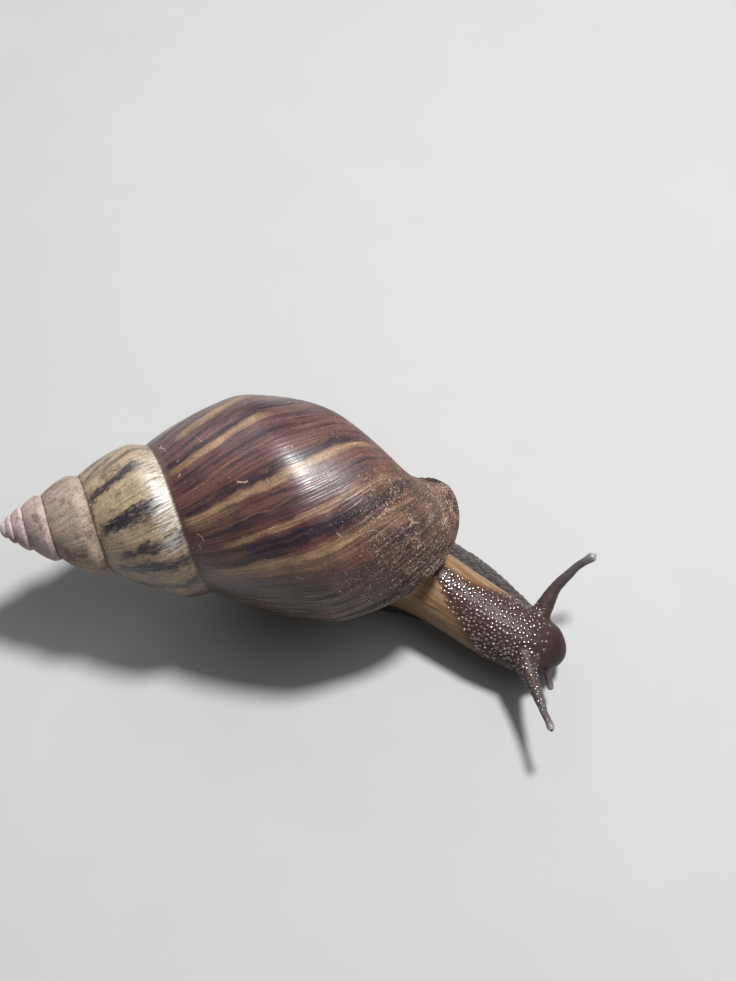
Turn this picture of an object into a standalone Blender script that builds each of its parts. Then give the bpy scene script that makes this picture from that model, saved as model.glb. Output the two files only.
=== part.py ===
"""Giant African land snail, life size, crawling.

The snail rests on the flat sole of its foot at z = 0, head towards +X, and the
origin is on the sole. The shell is a right-handed spiral whose whorls grow by a
fixed ratio each turn. The body is modelled whole and parted by thin cuts into
mantle, trunk, neck, head, foot and tail. All lengths are metres.
"""
import math

import bmesh
import bpy
from mathutils import Vector

MM = 0.001
GAP = 0.3 * MM
CUTTERS = "cutters"

# Shell: place of the spiral's apex, and the direction of its axis and of azimuth 0
SHELL_APEX = Vector((-49.8, -10.4, 27.9)) * MM
SHELL_AXIS = Vector((0.986, 0.153, -0.062)).normalized()
AZIMUTH_ZERO = Vector((0.130, -0.484, 0.865))

# Shell: growth of the spiral
SUTURE_DEPTH = 31.2 * MM     # apex to the last suture at azimuth 0, along the axis
SUTURE_RADIUS = 13.5 * MM    # radius of that suture
DEPTH_RATIO = 1.85           # growth of the depth in one turn
RADIUS_RATIO = 1.54          # growth of the radius in one turn
TURNS = 5.75                 # turns below the rounded tip
LIP_AZIMUTH = 96.0           # degrees, where the outer lip meets the last suture
ROWS_PER_TURN = 40
SUTURE_LAG_ROWS = 3          # a growth line slants back by this much on one whorl
WHORL_COLUMNS = 7            # between two sutures
BASE_COLUMNS = 11            # from the last suture round the base
BASE_END = 2.75              # depth of the base, in suture depths
TIP_DEPTH = 0.35 * MM        # the tip's place on the axis, from the apex
DOME_RINGS = 3               # rings that round the tip off

# Whorl outline: depth below the apex and radius, in units of the suture above it
WHORL_OUTLINE = (
    (1.00, 1.00), (1.06, 1.09), (1.20, 1.26), (1.45, 1.49), (1.65, 1.60),
    (DEPTH_RATIO, RADIUS_RATIO), (2.00, 1.46), (2.15, 1.31), (2.30, 0.97),
    (2.45, 0.37), (2.60, 0.15), (BASE_END, 0.16),
)
OUTLINE_SAMPLES = 400        # steps used to measure the outline's length
ROW_ANGLE = 360.0 / ROWS_PER_TURN

# Growth line: depth, and how many degrees it lies behind its start at the suture
GROWTH_LINE = (
    (1.00, 0.0), (1.40, -15.0), (DEPTH_RATIO, -SUTURE_LAG_ROWS * ROW_ANGLE), (2.10, -36.0),
    (2.35, -43.0), (2.55, -95.0), (BASE_END, -155.0),
)

# Aperture: a shallow dish behind the lip
LIP_THICKNESS = 0.06         # share of the way from the lip to the middle
DISH_DEPTH = 9.0 * MM        # how far in the dish's walls would meet
DISH_SHARE = 0.35            # how much of that depth is cut
MANTLE_SHRINK = 0.05         # share of the way to the middle, clear of the shell
MANTLE_BULGE = 1.2 * MM      # how far the mantle swells out of the aperture
MANTLE_ROUNDING = 0.25       # share of the way to the middle where the swelling starts
MANTLE_SHOULDER = 0.8        # height of the swelling there, as a share of the bulge
MANTLE_REACH = 8.0 * MM      # from the aperture's rim to its middle, at the narrow side
MANTLE_CORNER_ROWS = 12      # the mantle stays out of the aperture's sharp inner corner
MANTLE_CORNER_COLUMNS = 4

# Foot: middle line from tail to front, half width and height, in millimetres
FOOT_STATIONS = (
    # x, y, half width, height
    (-33.0, 7.4, 0.0, 0.9),
    (-31.0, 7.0, 2.6, 1.7),
    (-26.0, 6.2, 5.6, 3.4),
    (-16.0, 3.8, 9.2, 6.2),
    (-4.0, 1.0, 11.0, 8.0),
    (8.0, -0.8, 11.2, 8.6),
    (19.4, -3.2, 10.2, 8.0),
    (30.0, -7.8, 8.8, 6.4),
    (39.0, -14.2, 7.2, 4.6),
    (44.6, -18.2, 5.3, 3.2),
    (47.4, -20.3, 0.0, 1.2),
)
FOOT_EDGE = 0.8 * MM         # height of the foot's thin margin
FOOT_FLATNESS = 2.2          # how flat the back of the foot is across
FOOT_SHOULDER = 0.8          # how fast it falls away to the margin
SOLE_SHARE = 0.94            # the sole's width, as a share of the foot's
SLANT_STATIONS = (4, 6)      # the trunk lies in line with this stretch of the foot

# Trunk: level sections from the foot up into the aperture, in millimetres
TRUNK_STATIONS = (
    # x, y, z, half length, half width
    (6.0, -2.0, 3.0, 20.5, 9.6),
    (9.0, -5.0, 8.0, 16.0, 8.6),
    (12.4, -8.0, 12.0, 13.4, 8.6),
    (13.8, -10.2, 16.0, 12.2, 8.2),
    (14.2, -11.4, 20.0, 11.2, 7.2),
    (14.2, -11.4, 23.0, 10.2, 6.0),
)

# Neck and head: upright sections along the body, in millimetres
BODY_STATIONS = (
    # x, y, z, half width, half height
    (10.0, -6.5, 11.0, 7.0, 7.0),
    (18.0, -8.4, 11.0, 6.8, 7.6),
    (25.8, -11.7, 10.2, 6.5, 7.4),
    (31.8, -15.5, 9.4, 6.3, 6.6),
    (37.8, -19.5, 8.8, 6.3, 5.8),
    (42.8, -22.2, 8.2, 6.1, 5.2),
    (46.5, -23.0, 7.0, 5.2, 4.6),
    (49.0, -23.0, 5.6, 3.9, 3.6),
    (51.0, -22.8, 4.6, 0.0, 0.0),
)
NECK_START = 2.05            # station where the trunk ends
HEAD_START = 4.55            # station where the neck ends
TAIL_END = 3.8               # station of the foot where the tail ends

# Tentacles: points from inside the head to the tip, with radius, in millimetres
UPPER_LEFT = (
    (44.0, -20.9, 8.6, 2.8), (46.7, -17.8, 10.4, 1.95), (48.1, -15.6, 11.8, 1.55),
    (49.4, -14.0, 13.1, 1.18), (51.1, -12.8, 14.6, 0.98), (53.0, -11.5, 16.2, 0.8),
    (54.4, -11.0, 17.2, 0.8), (55.4, -10.6, 17.8, 0.96), (56.2, -10.3, 18.3, 0.0),
)
UPPER_RIGHT = (
    (42.8, -24.6, 9.0, 2.8), (43.2, -28.0, 10.0, 2.2), (43.8, -30.5, 10.4, 1.69),
    (44.5, -33.1, 11.0, 1.27), (45.2, -35.6, 11.5, 0.99), (45.8, -38.2, 12.1, 0.74),
    (46.4, -40.1, 12.6, 0.7), (46.7, -41.2, 12.9, 0.78), (46.9, -42.2, 13.1, 0.0),
)
LOWER_LEFT = (
    (48.0, -21.2, 5.6, 1.5), (49.4, -20.0, 4.6, 1.05), (50.2, -19.2, 3.5, 0.85),
    (50.6, -18.6, 2.5, 0.0),
)
LOWER_RIGHT = (
    (46.2, -23.6, 7.4, 1.8), (46.9, -25.4, 6.9, 1.4), (47.4, -26.8, 6.3, 1.05),
    (47.7, -28.2, 5.7, 0.8), (47.9, -29.4, 5.1, 0.7), (48.1, -30.3, 4.7, 0.7),
    (48.2, -31.0, 4.4, 0.0),
)
EYE_BACK = 0.75 * MM         # the eye is the tip of the upper tentacle, this deep
EYE_STATION = 1.2            # stations back from the tip, where the eye's axis is taken

# Colours
SHELL_BROWN = (0.16, 0.07, 0.05)
FLESH_TAN = (0.42, 0.24, 0.12)
FLESH_BROWN = (0.17, 0.08, 0.06)
FLESH_GREY = (0.16, 0.12, 0.13)
EYE_BLACK = (0.01, 0.01, 0.01)

# Meshing of the soft parts
FOOT_RINGS = 34
BODY_RINGS = 30
TRUNK_RINGS = 10
TENTACLE_RINGS = 16
BODY_SIDES = 24
TENTACLE_SIDES = 10
SHORT_TENTACLE_RINGS = 12
END_CROWDING = 0.35          # how much the rings crowd towards a rounded end
STEP = 0.1                   # stations ahead and behind that give a direction
POINT_WIDTH = 0.01 * MM      # a section narrower than this is a point
SHARP_ANGLE = math.radians(40.0)


def smooth_curve(points):
    """A function through the points that keeps flats flat and never overshoots."""
    xs = [p[0] for p in points]
    ys = [p[1] for p in points]
    steps = [xs[i + 1] - xs[i] for i in range(len(xs) - 1)]
    rises = [(ys[i + 1] - ys[i]) / steps[i] for i in range(len(steps))]
    slopes = [rises[0]]
    for i in range(1, len(rises)):
        if rises[i - 1] * rises[i] <= 0.0:
            slopes.append(0.0)
            continue
        before = 2.0 * steps[i] + steps[i - 1]
        after = steps[i] + 2.0 * steps[i - 1]
        slopes.append((before + after) / (before / rises[i - 1] + after / rises[i]))
    slopes.append(rises[-1])

    def value(x):
        x = min(max(x, xs[0]), xs[-1])
        i = 0
        while i < len(steps) - 1 and x > xs[i + 1]:
            i += 1
        t = (x - xs[i]) / steps[i]
        start = (1.0 + 2.0 * t) * (1.0 - t) ** 2 * ys[i] + t * (1.0 - t) ** 2 * steps[i] * slopes[i]
        end = t * t * (3.0 - 2.0 * t) * ys[i + 1] + t * t * (t - 1.0) * steps[i] * slopes[i + 1]
        return start + end

    return value


whorl_radius = smooth_curve(WHORL_OUTLINE)
growth_lag = smooth_curve(GROWTH_LINE)


def shell_frame():
    """The axis, and the directions of azimuth 0 and azimuth 90."""
    zero = (AZIMUTH_ZERO - AZIMUTH_ZERO.dot(SHELL_AXIS) * SHELL_AXIS).normalized()
    return SHELL_AXIS, zero, SHELL_AXIS.cross(zero)


def shell_point(growth, depth):
    """Point on the shell: growth line in degrees, depth in suture depths."""
    axis, zero, quarter = shell_frame()
    azimuth = growth + growth_lag(depth)
    turns = azimuth / 360.0
    along = SUTURE_DEPTH * DEPTH_RATIO ** turns * depth
    radius = SUTURE_RADIUS * RADIUS_RATIO ** turns * whorl_radius(depth)
    angle = math.radians(azimuth)
    outward = math.cos(angle) * zero + math.sin(angle) * quarter
    return SHELL_APEX + along * axis + radius * outward


def evenly_spaced_depths(first, last, count):
    """Depths that cut the whorl outline into stretches of equal length."""
    steps = OUTLINE_SAMPLES
    fine = [first + (last - first) * i / steps for i in range(steps + 1)]
    lengths = [0.0]
    for a, b in zip(fine, fine[1:]):
        along = (b - a) * SUTURE_DEPTH
        out = (whorl_radius(b) - whorl_radius(a)) * SUTURE_RADIUS
        lengths.append(lengths[-1] + math.hypot(along, out))
    stops = []
    for n in range(count + 1):
        target = lengths[-1] * n / count
        i = min(range(len(fine)), key=lambda j: abs(lengths[j] - target))
        stops.append(fine[i])
    stops[0], stops[-1] = first, last
    return stops


def build_shell():
    """The whole shell as one closed solid with a dish behind the aperture's lip."""
    mesh = bmesh.new()
    rows = round(TURNS * ROWS_PER_TURN)
    weld = ROWS_PER_TURN - SUTURE_LAG_ROWS
    depths = evenly_spaced_depths(1.0, DEPTH_RATIO, WHORL_COLUMNS)
    base = evenly_spaced_depths(DEPTH_RATIO, BASE_END, BASE_COLUMNS)[1:]
    grid = []
    for row in range(rows + 1):
        growth = LIP_AZIMUTH - (rows - row) * ROW_ANGLE
        stops = depths + (base if row >= rows - weld else [])
        grid.append([mesh.verts.new(shell_point(growth, d)) for d in stops])
    last_column = WHORL_COLUMNS
    for row in range(rows - weld + 1):
        mesh.verts.remove(grid[row][last_column])
        grid[row][last_column] = grid[row + weld][0]
    for row in range(rows):
        columns = min(len(grid[row]), len(grid[row + 1])) - 1
        for c in range(columns):
            near, far = grid[row], grid[row + 1]
            mesh.faces.new((near[c], near[c + 1], far[c + 1], far[c]))

    crown = [grid[row][0] for row in range(weld, -1, -1)] + grid[0][1:last_column]
    round_tip(mesh, crown)

    first = rows - weld
    edge = grid[rows][:-1] + [grid[row][-1] for row in range(rows, first, -1)]
    edge += grid[first][:last_column:-1]
    middle, inward = aperture_plane([v.co for v in edge])
    rings = [edge]
    rings.append([mesh.verts.new(v.co.lerp(middle, LIP_THICKNESS)) for v in edge])
    target = middle + DISH_DEPTH * inward
    rings.append([mesh.verts.new(v.co.lerp(target, DISH_SHARE)) for v in rings[1]])
    for outer, inner in zip(rings, rings[1:]):
        for i in range(len(edge)):
            j = (i + 1) % len(edge)
            mesh.faces.new((outer[j], outer[i], inner[i], inner[j]))
    bottom = mesh.verts.new(middle.lerp(target, DISH_SHARE))
    for i in range(len(edge)):
        mesh.faces.new((rings[-1][(i + 1) % len(edge)], rings[-1][i], bottom))
    bmesh.ops.recalc_face_normals(mesh, faces=mesh.faces)
    return mesh


def round_tip(mesh, crown):
    """A small dome over the first whorl's open top."""
    axis, _, _ = shell_frame()
    tip = SHELL_APEX + TIP_DEPTH * axis
    outer = crown
    for ring in range(DOME_RINGS):
        angle = math.pi / 2.0 * (ring + 1) / (DOME_RINGS + 1)
        inner = []
        for vertex in crown:
            along = (vertex.co - tip).dot(axis)
            out = vertex.co - tip - along * axis
            drop = along * (1.0 - math.sin(angle))
            inner.append(mesh.verts.new(tip + drop * axis + math.cos(angle) * out))
        for i in range(len(crown)):
            j = (i + 1) % len(crown)
            mesh.faces.new((outer[i], outer[j], inner[j], inner[i]))
        outer = inner
    top = mesh.verts.new(tip)
    for a, b in zip(outer, outer[1:] + outer[:1]):
        mesh.faces.new((top, a, b))


def aperture_plane(points):
    """Centroid of the aperture's area, and its unit normal pointing up into the shell."""
    start = sum(points, Vector()) / len(points)
    total, weighted, size = Vector(), Vector(), 0.0
    for a, b in zip(points, points[1:] + points[:1]):
        area = (a - start).cross(b - start)
        total += area
        size += area.length
        weighted += area.length * (start + a + b) / 3.0
    normal = total.normalized()
    return weighted / size, normal if normal.z > 0.0 else -normal


def station_curves(stations, squared):
    """One smooth function of the station number for each column of a table.

    The columns in squared are smoothed as squares, so that they round off to zero.
    """
    curves = []
    for column in range(len(stations[0])):
        power = 2 if column in squared else 1
        points = [(float(i), (row[column] * MM) ** power) for i, row in enumerate(stations)]
        curve = smooth_curve(points)
        if power == 2:
            curves.append(lambda t, c=curve: math.sqrt(max(c(t), 0.0)))
        else:
            curves.append(curve)
    return curves


def ring_positions(last, rings, closed_start, closed_end):
    """Station numbers for the rings of a loft, crowded towards its rounded ends."""
    positions = []
    for i in range(rings + 1):
        t = i / rings
        if closed_end and not closed_start:
            t += END_CROWDING * (math.sin(t * math.pi / 2.0) - t)
        elif closed_start and closed_end:
            t += END_CROWDING * ((1.0 - math.cos(t * math.pi)) / 2.0 - t)
        positions.append(t * last)
    return positions


def skin_rings(mesh, rings):
    """Faces between neighbouring rings, and a cap or a point at each end."""
    for lower, upper in zip(rings, rings[1:]):
        count = max(len(lower), len(upper))
        for i in range(count):
            j = (i + 1) % count
            if len(lower) == 1:
                mesh.faces.new((lower[0], upper[j], upper[i]))
            elif len(upper) == 1:
                mesh.faces.new((lower[i], lower[j], upper[0]))
            else:
                mesh.faces.new((lower[i], lower[j], upper[j], upper[i]))
    for end in (rings[0], rings[-1]):
        if len(end) > 1:
            mesh.faces.new(end)
    bmesh.ops.recalc_face_normals(mesh, faces=mesh.faces)


def build_foot(grow=0.0):
    """Foot from the tail's tip to the front, with a flat sole and a thin margin."""
    mesh = bmesh.new()
    x, y, half, high = station_curves(FOOT_STATIONS, (2,))
    last = len(FOOT_STATIONS) - 1
    back_points = BODY_SIDES * 3 // 4
    sole_points = BODY_SIDES // 4 + 1
    rings = []
    for t in ring_positions(last, FOOT_RINGS, True, True):
        centre = Vector((x(t), y(t), 0.0))
        ahead, behind = min(t + STEP, last), max(t - STEP, 0.0)
        along = Vector((x(ahead) - x(behind), y(ahead) - y(behind), 0.0)).normalized()
        side = Vector((-along.y, along.x, 0.0))
        width, height = half(t) + grow, high(t) + grow
        if half(t) < POINT_WIDTH and not grow:
            rings.append([mesh.verts.new(centre + Vector((0.0, 0.0, height / 2.0)))])
            continue
        ring = []
        for i in range(back_points):
            across = math.cos(math.pi * i / (back_points - 1))
            rise = (1.0 - abs(across) ** FOOT_FLATNESS) ** FOOT_SHOULDER
            ring.append(centre + side * width * across)
            ring[-1].z = FOOT_EDGE + (height - FOOT_EDGE) * rise
        for i in range(sole_points):
            across = SOLE_SHARE * (2.0 * i / (sole_points - 1) - 1.0)
            ring.append(centre + side * width * across)
            ring[-1].z = -grow
        rings.append([mesh.verts.new(p) for p in ring])
    skin_rings(mesh, rings)
    return mesh


def build_loft(stations, rings, sides, grow=0.0):
    """Oval sections, upright and square to the line through the stations."""
    mesh = bmesh.new()
    squared = range(3, len(stations[0]))
    x, y, z, *radii = station_curves(stations, squared)
    wide, tall = radii[0], radii[-1]
    last = len(stations) - 1
    closed = stations[-1][3] == 0.0
    loops = []
    for t in ring_positions(last, rings, False, closed):
        centre = Vector((x(t), y(t), z(t)))
        ahead, behind = min(t + STEP, last), max(t - STEP, 0.0)
        along = Vector((x(ahead) - x(behind), y(ahead) - y(behind), z(ahead) - z(behind)))
        side = Vector((0.0, 0.0, 1.0)).cross(along).normalized()
        up = along.cross(side).normalized()
        if wide(t) < POINT_WIDTH:
            loops.append([mesh.verts.new(centre + along.normalized() * grow)])
            continue
        loop = []
        for i in range(sides):
            angle = 2.0 * math.pi * i / sides
            out = side * math.cos(angle) * (wide(t) + grow)
            loop.append(mesh.verts.new(centre + out + up * math.sin(angle) * (tall(t) + grow)))
        loops.append(loop)
    skin_rings(mesh, loops)
    return mesh


def build_trunk():
    """Level oval sections from the foot up to the mantle."""
    mesh = bmesh.new()
    x, y, z, long, wide = station_curves(TRUNK_STATIONS, (3, 4))
    rear, front = (FOOT_STATIONS[i] for i in SLANT_STATIONS)
    along = Vector((front[0] - rear[0], front[1] - rear[1], 0.0)).normalized()
    side = Vector((-along.y, along.x, 0.0))
    loops = []
    for t in ring_positions(len(TRUNK_STATIONS) - 1, TRUNK_RINGS, False, False):
        centre = Vector((x(t), y(t), z(t)))
        loop = []
        for i in range(BODY_SIDES):
            angle = 2.0 * math.pi * i / BODY_SIDES
            out = along * math.cos(angle) * long(t) + side * math.sin(angle) * wide(t)
            loop.append(mesh.verts.new(centre + out))
        loops.append(loop)
    skin_rings(mesh, loops)
    return mesh


def build_mantle(grow=0.0):
    """The mantle's collar: it fills the dish and bulges a little out of it."""
    mesh = bmesh.new()
    edge_points = aperture_loop(MANTLE_CORNER_ROWS, MANTLE_CORNER_COLUMNS)
    middle, inward = aperture_plane(aperture_loop())
    target = middle + DISH_DEPTH * inward
    share = MANTLE_SHRINK - grow / MANTLE_REACH
    rims = [p.lerp(middle, LIP_THICKNESS + share) for p in edge_points]
    top = [p.lerp(target, DISH_SHARE - MANTLE_SHRINK) for p in rims]
    rise = MANTLE_BULGE * MANTLE_SHOULDER + grow
    swell = [p.lerp(middle, MANTLE_ROUNDING) - inward * rise for p in rims]
    rings = [[mesh.verts.new(middle.lerp(target, DISH_SHARE - MANTLE_SHRINK))]]
    rings += [[mesh.verts.new(p) for p in ring] for ring in (top, rims, swell)]
    rings.append([mesh.verts.new(middle - inward * (MANTLE_BULGE + grow))])
    skin_rings(mesh, rings)
    return mesh


def cut_off(mesh, point, normal):
    """Keep the part of a closed mesh on the far side of a plane, and cap the cut."""
    half = mesh.copy()
    geometry = list(half.verts) + list(half.edges) + list(half.faces)
    bmesh.ops.bisect_plane(half, geom=geometry, dist=1e-7, plane_co=point, plane_no=normal,
                           clear_inner=True)
    rim = [e for e in half.edges if e.is_boundary]
    bmesh.ops.holes_fill(half, edges=rim, sides=0)
    bmesh.ops.recalc_face_normals(half, faces=half.faces)
    return half


def part_in_two(mesh, point, along):
    """The pieces behind and ahead of a thin cut square to a direction."""
    behind = cut_off(mesh, point - along * GAP / 2.0, -along)
    ahead = cut_off(mesh, point + along * GAP / 2.0, along)
    mesh.free()
    return behind, ahead


def station_plane(stations, number):
    """A point of the middle line and its direction there."""
    x, y, z = station_curves(stations, ())[:3]
    point = Vector((x(number), y(number), z(number)))
    ahead = Vector((x(number + STEP), y(number + STEP), z(number + STEP)))
    return point, (ahead - point).normalized()


def aperture_loop(corner_rows=0, corner_columns=0):
    """Points round the aperture: outer lip, columella, and back over the last whorl.

    The columella and the whorl meet in a sharp inner corner, which can be left out.
    """
    weld = ROWS_PER_TURN - SUTURE_LAG_ROWS
    whorl = evenly_spaced_depths(1.0, DEPTH_RATIO, WHORL_COLUMNS)
    base = evenly_spaced_depths(DEPTH_RATIO, BASE_END, BASE_COLUMNS)[1:]
    first = LIP_AZIMUTH - weld * ROW_ANGLE
    loop = [shell_point(LIP_AZIMUTH, depth) for depth in whorl + base[:-1]]
    rows = range(weld - corner_rows)
    loop += [shell_point(LIP_AZIMUTH - row * ROW_ANGLE, BASE_END) for row in rows]
    loop += [shell_point(first, depth) for depth in base[::-1][corner_columns:]]
    return loop


def add_object(name, mesh, collection, colour=(0.3, 0.3, 0.3), roughness=0.4):
    """An object with its own material; those in the cutters' collection stay hidden."""
    data = bpy.data.meshes.new(name)
    mesh.to_mesh(data)
    mesh.free()
    data.shade_smooth()
    data.set_sharp_from_angle(angle=SHARP_ANGLE)
    obj = bpy.data.objects.new(name, data)
    collection.objects.link(obj)
    if collection.name == CUTTERS:
        obj.hide_render = True
        obj.display_type = 'WIRE'
        return obj
    material = bpy.data.materials.new(name)
    material.use_nodes = True
    shader = material.node_tree.nodes["Principled BSDF"]
    shader.inputs["Base Color"].default_value = (*colour, 1.0)
    shader.inputs["Roughness"].default_value = roughness
    data.materials.append(material)
    return obj


def combine(obj, other, operation):
    modifier = obj.modifiers.new(other.name, 'BOOLEAN')
    modifier.operation = operation
    modifier.object = other
    modifier.solver = 'EXACT'


def evaluated_copy(obj):
    """The object's shape with its modifiers, as a new bmesh."""
    graph = bpy.context.evaluated_depsgraph_get()
    data = bpy.data.meshes.new_from_object(obj.evaluated_get(graph))
    mesh = bmesh.new()
    mesh.from_mesh(data)
    bpy.data.meshes.remove(data)
    return mesh


def main_body(mesh):
    """Remove the crumbs that a cut leaves, and keep the largest connected body."""
    bodies = []
    seen = set()
    for start in mesh.verts:
        if start in seen:
            continue
        body, queue = [], [start]
        seen.add(start)
        while queue:
            vertex = queue.pop()
            body.append(vertex)
            for edge in vertex.link_edges:
                other = edge.other_vert(vertex)
                if other not in seen:
                    seen.add(other)
                    queue.append(other)
        bodies.append(body)
    for body in sorted(bodies, key=len)[:-1]:
        bmesh.ops.delete(mesh, geom=body, context='VERTS')
    return mesh


def new_collection(name):
    collection = bpy.data.collections.new(name)
    bpy.context.scene.collection.children.link(collection)
    return collection


def main():
    for obj in list(bpy.data.objects):
        bpy.data.objects.remove(obj)
    snail = new_collection("giant_african_land_snail")
    cutters = new_collection(CUTTERS)

    add_object("shell", build_shell(), snail, SHELL_BROWN, 0.3)
    add_object("mantle", build_mantle(), snail, FLESH_TAN)

    tail, foot = part_in_two(build_foot(), *station_plane(FOOT_STATIONS, TAIL_END))
    add_object("tail", tail, snail, FLESH_GREY)
    add_object("foot", foot, snail, FLESH_GREY)

    foot_cutter = add_object("foot_cutter", build_foot(GAP), cutters)
    mantle_cutter = add_object("mantle_cutter", build_mantle(GAP), cutters)
    neck_form = build_loft(BODY_STATIONS, BODY_RINGS, BODY_SIDES)
    neck_form = add_object("neck_form", neck_form, cutters)
    body_form = add_object("body_form", build_trunk(), cutters)
    combine(body_form, neck_form, 'UNION')
    combine(body_form, foot_cutter, 'DIFFERENCE')
    combine(body_form, mantle_cutter, 'DIFFERENCE')
    body = main_body(evaluated_copy(body_form))
    trunk, front = part_in_two(body, *station_plane(BODY_STATIONS, NECK_START))
    neck, head = part_in_two(front, *station_plane(BODY_STATIONS, HEAD_START))
    add_object("trunk", trunk, snail, FLESH_TAN)
    add_object("neck", neck, snail, FLESH_TAN)
    add_object("head", head, snail, FLESH_BROWN)

    head_cutter = build_loft(BODY_STATIONS, BODY_RINGS, BODY_SIDES, GAP)
    head_cutter = add_object("head_cutter", head_cutter, cutters)
    for name, stations in (("upper_left", UPPER_LEFT), ("upper_right", UPPER_RIGHT)):
        whole = build_loft(stations, TENTACLE_RINGS, TENTACLE_SIDES)
        _, along = station_plane(stations, len(stations) - EYE_STATION)
        tip = Vector(stations[-1][:3]) * MM
        stalk, eye = part_in_two(whole, tip - along * EYE_BACK, along)
        combine(add_object("tentacle_" + name, stalk, snail, FLESH_GREY), head_cutter, 'DIFFERENCE')
        add_object("eye_" + name[6:], eye, snail, EYE_BLACK, 0.1)
    for name, stations in (("lower_left", LOWER_LEFT), ("lower_right", LOWER_RIGHT)):
        stalk = build_loft(stations, SHORT_TENTACLE_RINGS, TENTACLE_SIDES)
        combine(add_object("tentacle_" + name, stalk, snail, FLESH_GREY), head_cutter, 'DIFFERENCE')


main()
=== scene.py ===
import math

import bmesh
import bpy
import numpy as np
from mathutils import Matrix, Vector


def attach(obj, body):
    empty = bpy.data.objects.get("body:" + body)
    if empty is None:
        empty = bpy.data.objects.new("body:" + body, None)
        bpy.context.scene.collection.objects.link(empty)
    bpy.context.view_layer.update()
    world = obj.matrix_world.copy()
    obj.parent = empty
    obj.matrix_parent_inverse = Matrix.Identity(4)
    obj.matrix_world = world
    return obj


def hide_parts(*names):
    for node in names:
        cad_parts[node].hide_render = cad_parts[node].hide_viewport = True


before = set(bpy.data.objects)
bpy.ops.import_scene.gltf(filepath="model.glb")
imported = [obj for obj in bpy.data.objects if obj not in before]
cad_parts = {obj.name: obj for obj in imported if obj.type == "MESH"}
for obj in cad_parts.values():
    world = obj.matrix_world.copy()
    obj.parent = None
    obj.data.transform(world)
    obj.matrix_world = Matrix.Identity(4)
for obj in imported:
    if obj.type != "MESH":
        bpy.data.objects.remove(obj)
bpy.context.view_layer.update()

MM = 0.001

# ---------------------------------------------------------------- shell sizes
SHELL_APEX = np.array((-49.8, -10.4, 27.9)) * MM
SHELL_AXIS = np.array((0.986, 0.153, -0.062))
AZIMUTH_ZERO = np.array((0.130, -0.484, 0.865))
SUTURE_DEPTH = 31.2 * MM     # apex to the last suture at azimuth 0, along the axis
SUTURE_RADIUS = 13.5 * MM    # radius of that suture
DEPTH_RATIO = 1.85           # growth of the depth in one turn
RADIUS_RATIO = 1.54          # growth of the radius in one turn
TURNS = 5.75
LIP_AZIMUTH = 96.0
BASE_END = 2.75
SUTURE_LAG = 27.0            # degrees that a growth line slants back on one whorl
TIP_DEPTH = 0.35 * MM
TIP_CHART_DEPTH = 1.4        # depth that the tip's dome takes its colours from
# Whorl outline: depth below the apex and radius, in units of the suture above it
WHORL_OUTLINE = (
    (1.00, 1.00), (1.06, 1.09), (1.20, 1.26), (1.45, 1.49), (1.65, 1.60),
    (DEPTH_RATIO, RADIUS_RATIO), (2.00, 1.46), (2.15, 1.31), (2.30, 0.97),
    (2.45, 0.37), (2.60, 0.15), (BASE_END, 0.16),
)
# Growth line: depth, and how many degrees it lies behind its start at the suture
GROWTH_LINE = (
    (1.00, 0.0), (1.40, -15.0), (DEPTH_RATIO, -SUTURE_LAG), (2.10, -36.0),
    (2.35, -43.0), (2.55, -95.0), (BASE_END, -155.0),
)
ROWS_PER_TURN = 360
WHORL_COLUMNS = 20
BASE_COLUMNS = 38
DOME_RINGS = 5
LIP_WALL = 0.03              # share of the way from the lip's edge to the middle
THROAT_DEPTH = 13.0 * MM     # where the walls of the opening would meet
THROAT_SHARE = 0.42
THROAT_RINGS = 7
THROAT_CURVE = 1.5
LIP_ROUND_SHARE = 0.35       # the lip's rounded edge: share of its wall, and drop
LIP_ROUND_DROP = 0.12 * MM
SURFACE_INSET = 0.04 * MM    # keeps the fine surface inside the faceted solid
WRINKLE_DEPTH = 0.16 * MM    # growth wrinkles on the last whorl

# ----------------------------------------------------------------- body sizes
# Foot: x, y, half width, height, in millimetres
FOOT_STATIONS = (
    (-33.0, 7.4, 0.0, 0.9), (-31.0, 7.0, 2.6, 1.7), (-26.0, 6.2, 5.6, 3.4),
    (-16.0, 3.8, 9.2, 6.2), (-4.0, 1.0, 11.0, 8.0), (8.0, -0.8, 11.2, 8.6),
    (19.4, -3.2, 10.2, 8.0), (30.0, -7.8, 8.8, 6.4), (39.0, -14.2, 7.2, 4.6),
    (44.6, -18.2, 5.3, 3.2), (47.4, -20.3, 0.0, 1.2),
)
FOOT_EDGE = 0.8 * MM         # height of its thin margin
FOOT_FLATNESS = 2.2
FOOT_SHOULDER = 0.8
SOLE_SHARE = 0.94            # width of the sole, as a share of the foot
SLANT_STATIONS = (4, 6)      # foot stations that the trunk lies along
# Trunk: x, y, z, half length, half width
TRUNK_STATIONS = (
    (6.0, -2.0, 3.0, 20.5, 9.6), (9.0, -5.0, 8.0, 16.0, 8.6), (12.4, -8.0, 12.0, 13.4, 8.6),
    (13.8, -10.2, 16.0, 12.2, 8.2), (14.2, -11.4, 20.0, 11.2, 7.2),
    (14.2, -11.4, 23.0, 10.2, 6.0),
)
# Neck and head: x, y, z, half width, half height
BODY_STATIONS = (
    (10.0, -6.5, 11.0, 7.0, 7.0), (18.0, -8.4, 11.0, 6.8, 7.6), (25.8, -11.7, 10.2, 6.5, 7.4),
    (31.8, -15.5, 9.4, 6.3, 6.6), (37.8, -19.5, 8.8, 6.3, 5.8), (42.8, -22.2, 8.2, 6.1, 5.2),
    (46.5, -23.0, 7.0, 5.2, 4.6), (49.0, -23.0, 5.6, 3.9, 3.6), (51.0, -22.8, 4.6, 0.0, 0.0),
)
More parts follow.
